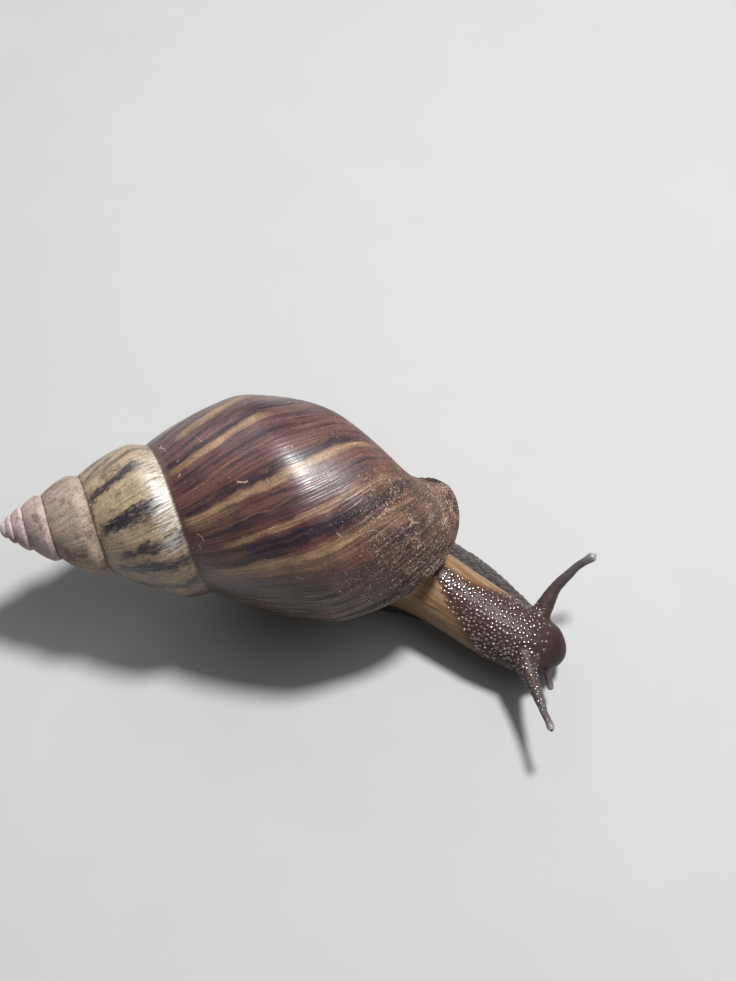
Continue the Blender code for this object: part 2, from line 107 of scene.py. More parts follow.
# Tentacles: x, y, z, radius
UPPER_LEFT = (
    (44.0, -20.9, 8.6, 2.8), (46.7, -17.8, 10.4, 1.95), (48.1, -15.6, 11.8, 1.55),
    (49.4, -14.0, 13.1, 1.18), (51.1, -12.8, 14.6, 0.98), (53.0, -11.5, 16.2, 0.8),
    (54.4, -11.0, 17.2, 0.8), (55.4, -10.6, 17.8, 0.96), (56.2, -10.3, 18.3, 0.0),
)
UPPER_RIGHT = (
    (42.8, -24.6, 9.0, 2.8), (43.2, -28.0, 10.0, 2.2), (43.8, -30.5, 10.4, 1.69),
    (44.5, -33.1, 11.0, 1.27), (45.2, -35.6, 11.5, 0.99), (45.8, -38.2, 12.1, 0.74),
    (46.4, -40.1, 12.6, 0.7), (46.7, -41.2, 12.9, 0.78), (46.9, -42.2, 13.1, 0.0),
)
LOWER_LEFT = (
    (48.0, -21.2, 5.6, 1.5), (49.4, -20.0, 4.6, 1.05), (50.2, -19.2, 3.5, 0.85),
    (50.6, -18.6, 2.5, 0.0),
)
LOWER_RIGHT = (
    (46.2, -23.6, 7.4, 1.8), (46.9, -25.4, 6.9, 1.4), (47.4, -26.8, 6.3, 1.05),
    (47.7, -28.2, 5.7, 0.8), (47.9, -29.4, 5.1, 0.7), (48.1, -30.3, 4.7, 0.7),
    (48.2, -31.0, 4.4, 0.0),
)
TENTACLES = (UPPER_LEFT, UPPER_RIGHT, LOWER_LEFT, LOWER_RIGHT)
CROWDED_ENDS = 0.35          # how much closer the rings of a loft lie near a closed end
END_GAP = 0.002              # stations left out where a loft closes to a point
LOOK = 0.1                   # stations looked ahead and behind for a direction
# Mantle collar: share of the way to the opening's middle, share of the throat's depth
COLLAR_PROFILE = (
    (0.30, 0.36), (0.06, 0.26), (0.055, 0.12), (0.07, 0.02), (0.12, -0.05), (0.24, -0.09),
    (0.45, -0.06), (0.8, 0.0),
)
COLLAR_GAP = (108.0, 0.3)    # growth degrees and depth left out at the inner corner
SKIN_VOXEL = 0.32 * MM
RELAX_ROUNDS = 14
TUBERCLE_DENSITY = 6.0e6     # most in a square metre, before the spacing thins them
NET_SCALE = (560.0, 900.0, 900.0)    # cells of the skin's net in a metre, along x, y, z
# Dark band along the back: body station, middle in degrees from the crest, half width
BACK_BAND = (
    (0.0, 0.0, 5.0), (2.2, 0.0, 9.0), (3.0, -12.0, 23.0), (3.45, -14.0, 35.0),
    (3.77, -16.0, 49.0), (4.04, -18.0, 62.0), (4.5, -10.0, 110.0), (5.0, 0.0, 190.0),
    (8.0, 0.0, 190.0),
)
EYE_RADIUS = 0.24 * MM
EYE_SINK = 1.15              # radii from the tip of the tentacle to the middle of the eye
MOUTH_HEIGHT = -1.1 * MM     # from the middle of the head
MOUTH_HALF_WIDTH = 1.9 * MM
MOUTH_ARCH = 190.0           # how fast the upper lip curves down, in 1/m

# --------------------------------------------------------------- shell pattern
# Streaks that follow growth lines: middle and half width in degrees of growth,
# first and last depth, strength
STREAK_COLUMNS = ("Middle", "Half Width", "First Depth", "Last Depth", "Strength")
GOLD_STREAKS = (
    (-50.5, 3.6, 1.15, 1.62, 1.00), (-25.5, 2.4, 1.02, 1.66, 0.90), (9.0, 2.2, 1.02, 2.20, 1.00),
    (11.0, 4.5, 1.02, 1.32, 0.55), (30.0, 1.7, 1.20, 2.20, 0.75), (46.5, 2.6, 1.08, 2.25, 1.00),
    (51.0, 4.0, 1.05, 2.20, 0.40), (73.5, 1.4, 1.30, 1.75, 0.50), (66.0, 2.2, 1.98, 2.30, 0.55),
    (-8.0, 0.6, 1.05, 1.60, 0.25), (20.0, 0.5, 1.10, 1.90, 0.25), (-75.0, 3.0, 1.05, 1.90, 0.80),
    (-98.0, 2.2, 1.10, 2.10, 0.90), (-121.0, 3.2, 1.02, 1.90, 0.80),
    (-146.0, 2.0, 1.10, 2.20, 0.90), (-168.0, 3.5, 1.02, 2.00, 0.80),
    (-194.0, 2.6, 1.10, 2.10, 0.90), (-216.0, 3.6, 1.02, 1.90, 0.80),
    (86.0, 1.2, 1.20, 2.20, 0.35),
)
DARK_STREAKS = (
    (-30.5, 1.9, 1.00, 1.80, 0.80), (4.3, 1.7, 1.00, 2.15, 0.85), (37.5, 3.6, 1.28, 2.30, 1.00),
    (22.5, 3.0, 1.10, 2.00, 0.45), (-14.0, 4.5, 1.00, 1.75, 0.35), (-38.0, 2.4, 1.40, 1.90, 0.50),
    (64.0, 3.0, 1.10, 2.10, 0.50), (-66.0, 3.0, 1.05, 2.00, 0.90), (-87.0, 4.0, 1.00, 2.20, 0.80),
    (-108.0, 3.0, 1.10, 2.20, 0.90), (-133.0, 4.0, 1.00, 2.20, 0.80),
    (-156.0, 3.0, 1.10, 2.20, 0.90), (-181.0, 5.0, 1.00, 2.20, 0.80),
    (-205.0, 4.0, 1.10, 2.20, 0.90), (-232.0, 5.0, 1.00, 2.00, 0.80),
)
FLAMES = (
    (-254.0, 4.5, 1.05, 1.85, 0.90), (-278.0, 4.0, 1.20, 1.85, 0.85),
    (-301.0, 4.6, 1.10, 1.85, 0.95), (-316.5, 4.2, 1.18, 1.85, 0.90),
    (-345.0, 6.4, 1.06, 1.78, 1.00), (-382.0, 4.4, 1.02, 1.64, 0.95),
    (-400.0, 2.6, 1.28, 1.85, 0.60), (-411.0, 3.4, 1.00, 1.40, 0.60),
    (-431.0, 4.5, 1.10, 1.85, 0.80), (-462.0, 5.0, 1.00, 1.75, 0.70),
    (-492.0, 4.5, 1.20, 1.85, 0.60), (-524.0, 5.0, 1.05, 1.80, 0.45),
)


# ------------------------------------------------------------------- curves
def smooth_curve(points):
    """A function through the points that keeps flats flat and never overshoots."""
    xs, ys = np.array(points, float).T
    steps = np.diff(xs)
    rises = np.diff(ys) / steps
    slopes = np.zeros(len(xs))
    slopes[0], slopes[-1] = rises[0], rises[-1]
    for i in range(1, len(rises)):
        if rises[i - 1] * rises[i] > 0.0:
            before = 2.0 * steps[i] + steps[i - 1]
            after = steps[i] + 2.0 * steps[i - 1]
            slopes[i] = (before + after) / (before / rises[i - 1] + after / rises[i])

    def value(x):
        x = np.clip(np.asarray(x, float), xs[0], xs[-1])
        i = np.clip(np.searchsorted(xs, x, side="right") - 1, 0, len(steps) - 1)
        t = (x - xs[i]) / steps[i]
        start = (1.0 + 2.0 * t) * ys[i] + t * steps[i] * slopes[i]
        end = (3.0 - 2.0 * t) * ys[i + 1] + (t - 1.0) * steps[i] * slopes[i + 1]
        return (1.0 - t) ** 2 * start + t * t * end

    return value


def station_curves(stations, squared=()):
    """A smooth function of the station number for each column, in metres.

    Squared columns, for radii that reach zero, are smoothed by their squares.
    """
    curves = []
    for number, column in enumerate(zip(*stations)):
        power = 2 if number in squared else 1
        curve = smooth_curve([(i, (size * MM) ** power) for i, size in enumerate(column)])
        curves.append(curve if power == 1 else lambda t, c=curve: np.sqrt(np.maximum(c(t), 0.0)))
    return curves


def smoothstep(low, high, x):
    """Soft step from 0 to 1 as x goes from low to high."""
    t = np.clip((x - low) / (high - low), 0.0, 1.0)
    return t * t * (3.0 - 2.0 * t)


def unit(v):
    """Vectors brought to length 1."""
    return v / np.maximum(np.linalg.norm(v, axis=-1, keepdims=True), 1e-12)


# -------------------------------------------------------------------- wiring
FLOAT, VECTOR, COLOUR = 'NodeSocketFloat', 'NodeSocketVector', 'NodeSocketColor'
GEOMETRY, MATERIAL, COUNT = 'NodeSocketGeometry', 'NodeSocketMaterial', 'NodeSocketInt'


class Wiring:
    """Adds nodes to a tree and joins them. Most methods return a node's output."""

    def __init__(self, tree):
        self.tree = tree

    def put(self, socket, value):
        """A link or a plain value on a socket. None leaves it alone."""
        if isinstance(value, bpy.types.NodeSocket):
            self.tree.links.new(value, socket)
        elif value is not None:
            opaque = socket.type == 'RGBA' and len(value) == 3
            socket.default_value = (*value, 1.0) if opaque else value

    def fill(self, sockets, values):
        for name, value in values.items():
            self.put(sockets[name], value)

    def add(self, kind, values=None, **settings):
        """A new node with its settings, and values or links on its inputs."""
        node = self.tree.nodes.new(kind)
        for name, setting in settings.items():
            setattr(node, name, setting)
        self.fill(node.inputs, values or {})
        return node

    def out(self, kind, values=None, **settings):
        """The first output of a new node."""
        return self.add(kind, values, **settings).outputs[0]

    def math(self, operation, a, b=None, c=None, clamp=False):
        return self.out('ShaderNodeMath', {0: a, 1: b, 2: c}, operation=operation, use_clamp=clamp)

    def times(self, first, *others):
        for other in others:
            first = self.math('MULTIPLY', first, other)
        return first

    def most(self, first, *others):
        for other in others:
            first = self.math('MAXIMUM', first, other)
        return first

    def plus(self, base, value, factor, clamp=False):
        """The base plus the value times the factor."""
        return self.math('MULTIPLY_ADD', value, factor, base, clamp)

    def minus(self, a, b):
        return self.math('SUBTRACT', a, b)

    def over(self, a, b):
        return self.math('DIVIDE', a, b)

    def rest(self, share):
        """What a share leaves of 1."""
        return self.minus(1.0, share)

    def vector(self, operation, a, b):
        second = "Scale" if operation == 'SCALE' else 1
        return self.out('ShaderNodeVectorMath', {0: a, second: b}, operation=operation)

    def in_sizes(self, place, size):
        """A place measured in units of a size."""
        return self.vector('SCALE', place, self.over(1.0, size))

    def point(self, x, y, z=0.0):
        return self.out('ShaderNodeCombineXYZ', {0: x, 1: y, 2: z})

    def split(self, vector):
        return self.add('ShaderNodeSeparateXYZ', {0: vector}).outputs

    def smooth(self, value, low, high, start=0.0, end=1.0):
        """Soft step from start to end as the value goes from low to high."""
        values = {"Value": value, "From Min": low, "From Max": high, "To Min": start, "To Max": end}
        return self.out('ShaderNodeMapRange', values, interpolation_type='SMOOTHSTEP')

    def mix(self, share, a, b, blend='MIX'):
        values = {0: share, 6: a, 7: b}
        return self.add('ShaderNodeMix', values, data_type='RGBA', blend_type=blend).outputs[2]

    def paint(self, base, *layers):
        """Colours laid over a base one after another, each with its own share."""
        for share, colour in layers:
            base = self.mix(share, base, colour)
        return base

    def shade(self, colour, light):
        """A colour made lighter or darker."""
        return self.mix(1.0, colour, self.point(light, light, light), 'MULTIPLY')

    def noise(self, at, scale=1.0, detail=2.0, roughness=0.5, dimensions='3D', seed=None):
        values = {"Vector": at, "Scale": scale, "Detail": detail, "Roughness": roughness}
        if seed is not None:
            dimensions = '4D'
            values["W"] = seed
        return self.out('ShaderNodeTexNoise', values, noise_dimensions=dimensions)

    def net_edges(self, place):
        """Distance from the borders of the skin net's cells."""
        values = {"Vector": self.vector('MULTIPLY', place, NET_SCALE), "Scale": 1.0}
        return self.out('ShaderNodeTexVoronoi', values, feature='DISTANCE_TO_EDGE')

    def ramp(self, value, stops):
        """Colours at places along a line, blended between."""
        node = self.add('ShaderNodeValToRGB', {0: value})
        points = node.color_ramp.elements
        while len(points) < len(stops):
            points.new(1.0)
        for point, (place, colour) in zip(points, stops):
            point.position = place
            point.color = (*colour, 1.0)
        return node.outputs[0]

    def bump(self, height, distance, strength):
        values = {"Height": height, "Distance": distance, "Strength": strength}
        return self.out('ShaderNodeBump', values)

    def place(self):
        """Where a point of the object is, in metres."""
        return self.add('ShaderNodeTexCoord').outputs["Object"]

    def named(self, name):
        """A mesh attribute, in a geometry tree."""
        return self.out('GeometryNodeInputNamedAttribute', {"Name": name}, data_type='FLOAT')

    def group(self, tree, values):
        """The outputs of a shared group, placed with its own values."""
        return self.add('ShaderNodeGroup', values, node_tree=tree).outputs

    def finish(self, geometry, material, result):
        """End a geometry tree with a plain smooth mesh in its material."""
        plain = self.out('GeometryNodeRealizeInstances', {0: geometry})
        smooth = self.out('GeometryNodeSetShadeSmooth', {0: plain})
        self.put(result[0], self.out('GeometryNodeSetMaterial', {0: smooth, "Material": material}))
        return self.tree


def new_group(kind, name, inputs, outputs):
    """A node group: its wiring, inputs and outputs. A number makes a float socket."""
    tree = bpy.data.node_groups.new(name, kind)
    for direction, sockets in (('INPUT', inputs), ('OUTPUT', outputs)):
        for socket, what in sockets.items():
            number = isinstance(what, float)
            made = tree.interface.new_socket(socket, in_out=direction,
                                             socket_type=FLOAT if number else what)
            if number:
                made.default_value = what
    w = Wiring(tree)
    return w, w.add('NodeGroupInput').outputs, w.add('NodeGroupOutput').inputs


def new_material(name, values):
    """A material, its wiring and its shader's sockets, some of them set to values."""
    material = bpy.data.materials.new(name)
    material.use_nodes = True
    w = Wiring(material.node_tree)
    shader = material.node_tree.nodes["Principled BSDF"].inputs
    w.fill(shader, values)
    return material, w, shader


# -------------------------------------------------------------------- meshes
def new_object(name, data):
    obj = bpy.data.objects.new(name, data)
    bpy.context.scene.collection.objects.link(obj)
    return obj


def mesh_data(name, mesh):
    """Mesh data from a finished BMesh, which is freed."""
    data = bpy.data.meshes.new(name)
    mesh.to_mesh(data)
    mesh.free()
    return data


def evaluated_mesh(obj):
    """The plain mesh that an object's modifiers make."""
    graph = bpy.context.evaluated_depsgraph_get()
    return bpy.data.meshes.new_from_object(obj.evaluated_get(graph))


def run_tree(obj, tree, values):
    """The plain mesh that a geometry tree makes of an object."""
    modifier = obj.modifiers.new(tree.name, 'NODES')
    modifier.node_group = tree
    for item in tree.interface.items_tree:
        if item.in_out == 'INPUT' and item.name in values:
            modifier[item.identifier] = values[item.name]
    data = evaluated_mesh(obj)
    obj.modifiers.remove(modifier)
    return data


def read_points(data):
    flat = np.empty(len(data.vertices) * 3, np.float32)
    data.vertices.foreach_get("co", flat)
    return flat.reshape(-1, 3).astype(float)


def add_layer(data, name, values):
    """A number for each point, which trees and materials read by its name."""
    layer = data.attributes.new(name, 'FLOAT', 'POINT')
    layer.data.foreach_set("value", np.asarray(values, np.float32))


# -------------------------------------------------------------------- shell
whorl_radius = smooth_curve(WHORL_OUTLINE)
growth_lag = smooth_curve(GROWTH_LINE)
AXIS = unit(SHELL_AXIS)
ZERO = unit(AZIMUTH_ZERO - (AZIMUTH_ZERO @ AXIS) * AXIS)


def shell_point(growth, depth):
    """Points on the shell for growth lines in degrees and depths in suture depths."""
    azimuth = growth + growth_lag(depth)
    turns = azimuth / 360.0
    along = SUTURE_DEPTH * DEPTH_RATIO ** turns * depth
    radius = SUTURE_RADIUS * RADIUS_RATIO ** turns * whorl_radius(depth)
    angle = np.radians(azimuth)[..., None]
    outward = np.cos(angle) * ZERO + np.sin(angle) * np.cross(AXIS, ZERO)
    return SHELL_APEX + along[..., None] * AXIS + radius[..., None] * outward


def spaced_depths(first, last, count):
    """Depths that cut the whorl outline into stretches of equal length."""
    fine = np.linspace(first, last, 2001)
    stretch = np.hypot(np.diff(fine) * SUTURE_DEPTH, np.diff(whorl_radius(fine)) * SUTURE_RADIUS)
    length = np.concatenate(([0.0], np.cumsum(stretch)))
    return np.interp(np.linspace(0.0, length[-1], count + 1), length, fine)


def shell_chart():
    """The shell's surface laid out flat: growth in turns along x and depth along y.

    The last turn goes on down to the base. Before it, each whorl's lower edge is
    welded to the suture of the next. Returns the loops of points round the tip and
    round the opening too.
    """
    rows = round(TURNS * ROWS_PER_TURN)
    weld = ROWS_PER_TURN - round(SUTURE_LAG * ROWS_PER_TURN / 360.0)
    first, last = rows - weld, WHORL_COLUMNS
    base = spaced_depths(DEPTH_RATIO, BASE_END, BASE_COLUMNS)[1:]
    depths = np.concatenate((spaced_depths(1.0, DEPTH_RATIO, WHORL_COLUMNS), base))
    turns = LIP_AZIMUTH / 360.0 - (rows - np.arange(rows + 1)) / ROWS_PER_TURN
    mesh = bmesh.new()
    chart = mesh.loops.layers.uv.new("growth")
    grid = []
    for row in range(rows + 1):
        count = len(depths) if row >= first else last + 1
        skip = last if row <= first else -1
        line = [(turns[row], depths[c], float(row > first)) for c in range(count)]
        grid.append([None if c == skip else mesh.verts.new(p) for c, p in enumerate(line)])
    for row in range(first + 1):
        grid[row][last] = grid[row + weld][0]
    for row in range(rows):
        for c in range(min(len(grid[row]), len(grid[row + 1])) - 1):
            corners = ((row, c), (row, c + 1), (row + 1, c + 1), (row + 1, c))
            face = mesh.faces.new([grid[r][k] for r, k in corners])
            for loop, (r, k) in zip(face.loops, corners):
                loop[chart].uv = (turns[r], depths[k])
    mesh.verts.index_update()
    crown = [grid[row][0].index for row in range(weld, -1, -1)]
    crown += [v.index for v in grid[0][1:last]]
    rim = [v.index for v in grid[rows][:-1]]
    rim += [grid[row][-1].index for row in range(rows, first, -1)]
    rim += [grid[first][c].index for c in range(len(depths) - 1, last, -1)]
    data = mesh_data("shell_chart", mesh)
    depth = read_points(data)[:, 1]
    add_layer(data, "lag", growth_lag(depth) / 360.0)
    add_layer(data, "outline", whorl_radius(depth))
    return data, crown, rim


def spiral_tree():
    """Winds the flat chart up into the shell, and presses growth wrinkles into it."""
    w, given, result = new_group('GeometryNodeTree', "wind_shell", {
        "Chart": GEOMETRY, "Apex": VECTOR, "Axis": VECTOR, "Azimuth Zero": VECTOR,
        "Suture Depth": FLOAT, "Suture Radius": FLOAT, "Depth Ratio": FLOAT,
        "Radius Ratio": FLOAT, "Inset": FLOAT, "Wrinkle Depth": FLOAT, "Seed": FLOAT,
        "Finish": MATERIAL,
    }, {"Shell": GEOMETRY})
    turn, depth, free = w.split(w.out('GeometryNodeInputPosition'))
    azimuth = w.math('ADD', turn, w.named("lag"))
    along = w.times(w.math('POWER', given["Depth Ratio"], azimuth), depth, given["Suture Depth"])
    radius = w.times(w.math('POWER', given["Radius Ratio"], azimuth), w.named("outline"),
                     given["Suture Radius"])
    degrees = w.times(turn, 360.0)

    def wrinkles(period, stretch):
        at = w.point(w.over(degrees, period), w.times(depth, stretch))
        return w.noise(at, seed=given["Seed"])

    near_lip = w.smooth(degrees, 48.0, 92.0)
    lines = w.smooth(wrinkles(2.6, 1.6), 0.3, 0.7)
    folds = w.times(wrinkles(5.0, 1.4), w.plus(0.8, near_lip, 3.0))
    relief = w.plus(folds, lines, w.plus(0.3, near_lip, 1.5))
    closing = w.smooth(depth, DEPTH_RATIO - 0.1, DEPTH_RATIO)
    fade = w.times(w.smooth(depth, 1.0, 1.08), w.rest(w.times(closing, w.rest(free))))
    sunk = w.plus(given["Inset"], w.times(relief, fade), given["Wrinkle Depth"])
    size = w.math('POWER', given["Radius Ratio"], turn)
    radius = w.minus(radius, w.times(sunk, size))

    angle = w.times(azimuth, 2.0 * math.pi)
    quarter = w.vector('CROSS_PRODUCT', given["Axis"], given["Azimuth Zero"])
    outward = w.vector('ADD', w.vector('SCALE', given["Azimuth Zero"], w.math('COSINE', angle)),
                       w.vector('SCALE', quarter, w.math('SINE', angle)))
    position = w.vector('ADD', w.vector('SCALE', given["Axis"], along),
                        w.vector('SCALE', outward, radius))
    wound = w.out('GeometryNodeSetPosition', {
        "Geometry": given["Chart"], "Position": w.vector('ADD', given["Apex"], position),
    })
    return w.finish(wound, given["Finish"], result)


def opening_plane(points):
    """Centroid of the opening's area and its unit normal, pointing up into the shell."""
    start = points.mean(axis=0)
    following = np.roll(points, -1, axis=0)
    areas = np.cross(points - start, following - start)
    sizes = np.linalg.norm(areas, axis=1)
    middle = ((start + points + following) / 3.0 * sizes[:, None]).sum(axis=0) / sizes.sum()
    normal = unit(areas.sum(axis=0))
    return middle, normal if normal[2] > 0.0 else -normal


def close_shell(data, crown, rim):
    """Round off the tip, and give the opening its lip and its throat."""
    outside, inside = 0, 1
    mesh = bmesh.new()
    mesh.from_mesh(data)
    chart = mesh.loops.layers.uv["growth"]
    mesh.verts.ensure_lookup_table()
    places = {}
    for face in mesh.faces:
        for loop in face.loops:
            places[loop.vert.index] = tuple(loop[chart].uv)

    def bridge(outer, inner, indices, finish, depth=None):
        """Faces from a ring to the next one, or to a single point."""
        for i in range(len(outer)):
            j = (i + 1) % len(outer)
            far = (inner[j], inner[i]) if isinstance(inner, list) else (inner,)
            face = mesh.faces.new((outer[i], outer[j], *far))
            face.smooth = True
            face.material_index = finish
            corners = (indices[i], indices[j], indices[j], indices[i])
            for loop, index in zip(face.loops, corners):
                turn, own_depth = places[index]
                loop[chart].uv = (turn, depth or own_depth)
        return inner

    def ring_of(points):
        return [mesh.verts.new(p) for p in points]

    tip = SHELL_APEX + TIP_DEPTH * AXIS
    outer = [mesh.verts[i] for i in crown]
    lip = [mesh.verts[i] for i in rim]
    start = np.array([v.co for v in outer])
    along = (start - tip) @ AXIS
    out = start - tip - along[:, None] * AXIS
    for ring in range(1, DOME_RINGS + 1):
        angle = math.pi / 2.0 * ring / (DOME_RINGS + 1)
        points = tip + ((1.0 - math.sin(angle)) * along)[:, None] * AXIS + math.cos(angle) * out
        outer = bridge(outer, ring_of(points), crown, outside, TIP_CHART_DEPTH)
    bridge(outer, mesh.verts.new(tip), crown, outside, TIP_CHART_DEPTH)

    edge = np.array([v.co for v in lip])
    middle, inward = opening_plane(edge)
    wall = edge + (middle - edge) * LIP_WALL
    target = middle + THROAT_DEPTH * inward
    rounded = edge + (middle - edge) * LIP_WALL * LIP_ROUND_SHARE - inward * LIP_ROUND_DROP
    outer = bridge(lip, ring_of(rounded), rim, outside)
    for ring in range(THROAT_RINGS + 1):
        share = THROAT_SHARE * (ring / THROAT_RINGS) ** THROAT_CURVE
        points = wall + (target - wall) * share
        outer = bridge(outer, ring_of(points), rim, inside if ring else outside)
    bridge(outer, mesh.verts.new(middle + (target - middle) * THROAT_SHARE), rim, inside)
    bmesh.ops.recalc_face_normals(mesh, faces=mesh.faces)
    mesh.to_mesh(data)
    mesh.free()


def build_shell():
    data, crown, rim = shell_chart()
    chart = new_object("shell_chart", data)
    wound = run_tree(chart, spiral_tree(), {
        "Apex": SHELL_APEX, "Axis": AXIS, "Azimuth Zero": ZERO, "Suture Depth": SUTURE_DEPTH,
        "Suture Radius": SUTURE_RADIUS, "Depth Ratio": DEPTH_RATIO, "Radius Ratio": RADIUS_RATIO,
        "Inset": SURFACE_INSET, "Wrinkle Depth": WRINKLE_DEPTH, "Seed": 3.0,
        "Finish": shell_outside(),
    })
    bpy.data.objects.remove(chart)
    wound.materials.append(shell_inside())
    close_shell(wound, crown, rim)
    for name in ("lag", "outline"):
        wound.attributes.remove(wound.attributes[name])
    return new_object("spiral_shell", wound)


# ------------------------------------------------------------ shell finishes
SPIRE_COLOURS_AND_SHADE = (
    # turns, colour
    (-5.60, (0.62, 0.50, 0.48)), (-4.30, (0.56, 0.43, 0.41)), (-3.30, (0.47, 0.35, 0.32)),
    (-2.40, (0.37, 0.28, 0.23)), (-1.72, (0.33, 0.25, 0.19)), (-1.38, (0.34, 0.25, 0.17)),
    (-0.95, (0.36, 0.27, 0.17)), (-0.76, (0.24, 0.16, 0.10)), (-0.62, (0.130, 0.070, 0.050)),
    # from 0.12 turns on, the last whorl darkens towards the lip: partly its own dark brown, partly
    # painted shade
    (-0.20, (0.128, 0.064, 0.060)), (0.12, (0.112, 0.050, 0.040)), (0.267, (0.062, 0.029, 0.020)),
)
SPIRE_START, SPIRE_SPAN = 6.0, 6.5      # turns from the ramp's start to 0, and in all
DARK_PURPLE = (0.024, 0.015, 0.023)
REDDISH = (0.100, 0.036, 0.028)
FLAME_BROWN = (0.028, 0.021, 0.028)
GOLD = (0.270, 0.168, 0.095)
# worn whitish shell with a painted highlight on it
WORN_WHITE_AND_SHEEN = (0.66, 0.62, 0.57)
DUST = (0.20, 0.115, 0.074)
AMBER = (0.185, 0.085, 0.034)
LIP_TAN = (0.235, 0.118, 0.074)
LIP_DARK = (0.032, 0.017, 0.012)
STAIN = (0.15, 0.095, 0.065)
SPECK_PALE = (0.50, 0.36, 0.28)
SUTURE_BROWN = (0.055, 0.030, 0.022)


def streak_group():
    """A soft-edged streak along a growth line, between two depths."""
    w, given, result = new_group('ShaderNodeTree', "growth_streak", {
        "Growth": 0.0, "Depth": 0.0, "Middle": 0.0, "Half Width": 1.0, "First Depth": 1.0,
        "Last Depth": 2.0, "Strength": 1.0,
    }, {"Mask": FLOAT})
    away = w.math('ABSOLUTE', w.minus(given["Growth"], given["Middle"]))
    across = w.smooth(w.over(away, given["Half Width"]), 0.45, 1.5, 1.0, 0.0)
    begin = w.smooth(w.minus(given["Depth"], given["First Depth"]), -0.06, 0.06)
    end = w.smooth(w.minus(given["Last Depth"], given["Depth"]), -0.08, 0.08)
    w.put(result["Mask"], w.times(across, begin, end, given["Strength"]))
    return w.tree


def mottle_group():
    """Makes a colour lighter and darker in soft patches and in fine grain."""
    w, given, result = new_group('ShaderNodeTree', "mottle", {
        "Color": COLOUR, "Vector": VECTOR, "Patch Size": 2.0 * MM, "Patches": 0.2, "Grain": 0.1,
    }, {"Color": COLOUR})
    at = w.in_sizes(given["Vector"], given["Patch Size"])
    patches = w.minus(w.noise(at, 1.0, 3.0), 0.5)
    grain = w.minus(w.noise(at, 9.0, 2.0), 0.5)
    light = w.plus(1.0, patches, w.times(given["Patches"], 2.0))
    light = w.plus(light, grain, w.times(given["Grain"], 2.0))
    w.put(result["Color"], w.shade(given["Color"], light))
    return w.tree


def mottled(w, colour, place, patch_size, patches, grain):
    """A colour through the shared mottle group."""
    return w.group(bpy.data.node_groups.get("mottle") or mottle_group(), {
        "Color": colour, "Vector": place, "Patch Size": patch_size, "Patches": patches,
        "Grain": grain,
    })["Color"]


def speck_group():
    """Scattered specks: 1 on a speck and 0 between them."""
    w, given, result = new_group('ShaderNodeTree', "specks", {
        "Vector": VECTOR, "Speck Size": 0.3 * MM, "Cover": 0.2,
    }, {"Mask": FLOAT})
    dust = w.noise(w.in_sizes(given["Vector"], given["Speck Size"]), 1.0, 3.0, 0.6)
    edge = w.minus(0.78, w.times(given["Cover"], 0.4))
    w.put(result["Mask"], w.smooth(w.minus(dust, edge), -0.03, 0.05))
    return w.tree


def hair_group():
    """Fine curved hairs and scratches: 1 on a hair and 0 between them."""
    w, given, result = new_group('ShaderNodeTree', "hairs", {
        "Vector": VECTOR, "Curl Size": 4.0 * MM, "Cover": 0.2,
    }, {"Mask": FLOAT})
    at = w.in_sizes(given["Vector"], given["Curl Size"])
    away = w.math('ABSOLUTE', w.minus(w.noise(at, 1.0, 1.0), 0.5))
    hair = w.smooth(away, 0.0025, 0.007, 1.0, 0.0)
    elsewhere = w.vector('ADD', at, (7.0, 3.0, 11.0))
    edge = w.minus(0.68, w.times(given["Cover"], 0.3))
    w.put(result["Mask"], w.times(hair, w.smooth(w.noise(elsewhere, 2.3, 1.0), edge, 0.70)))
    return w.tree


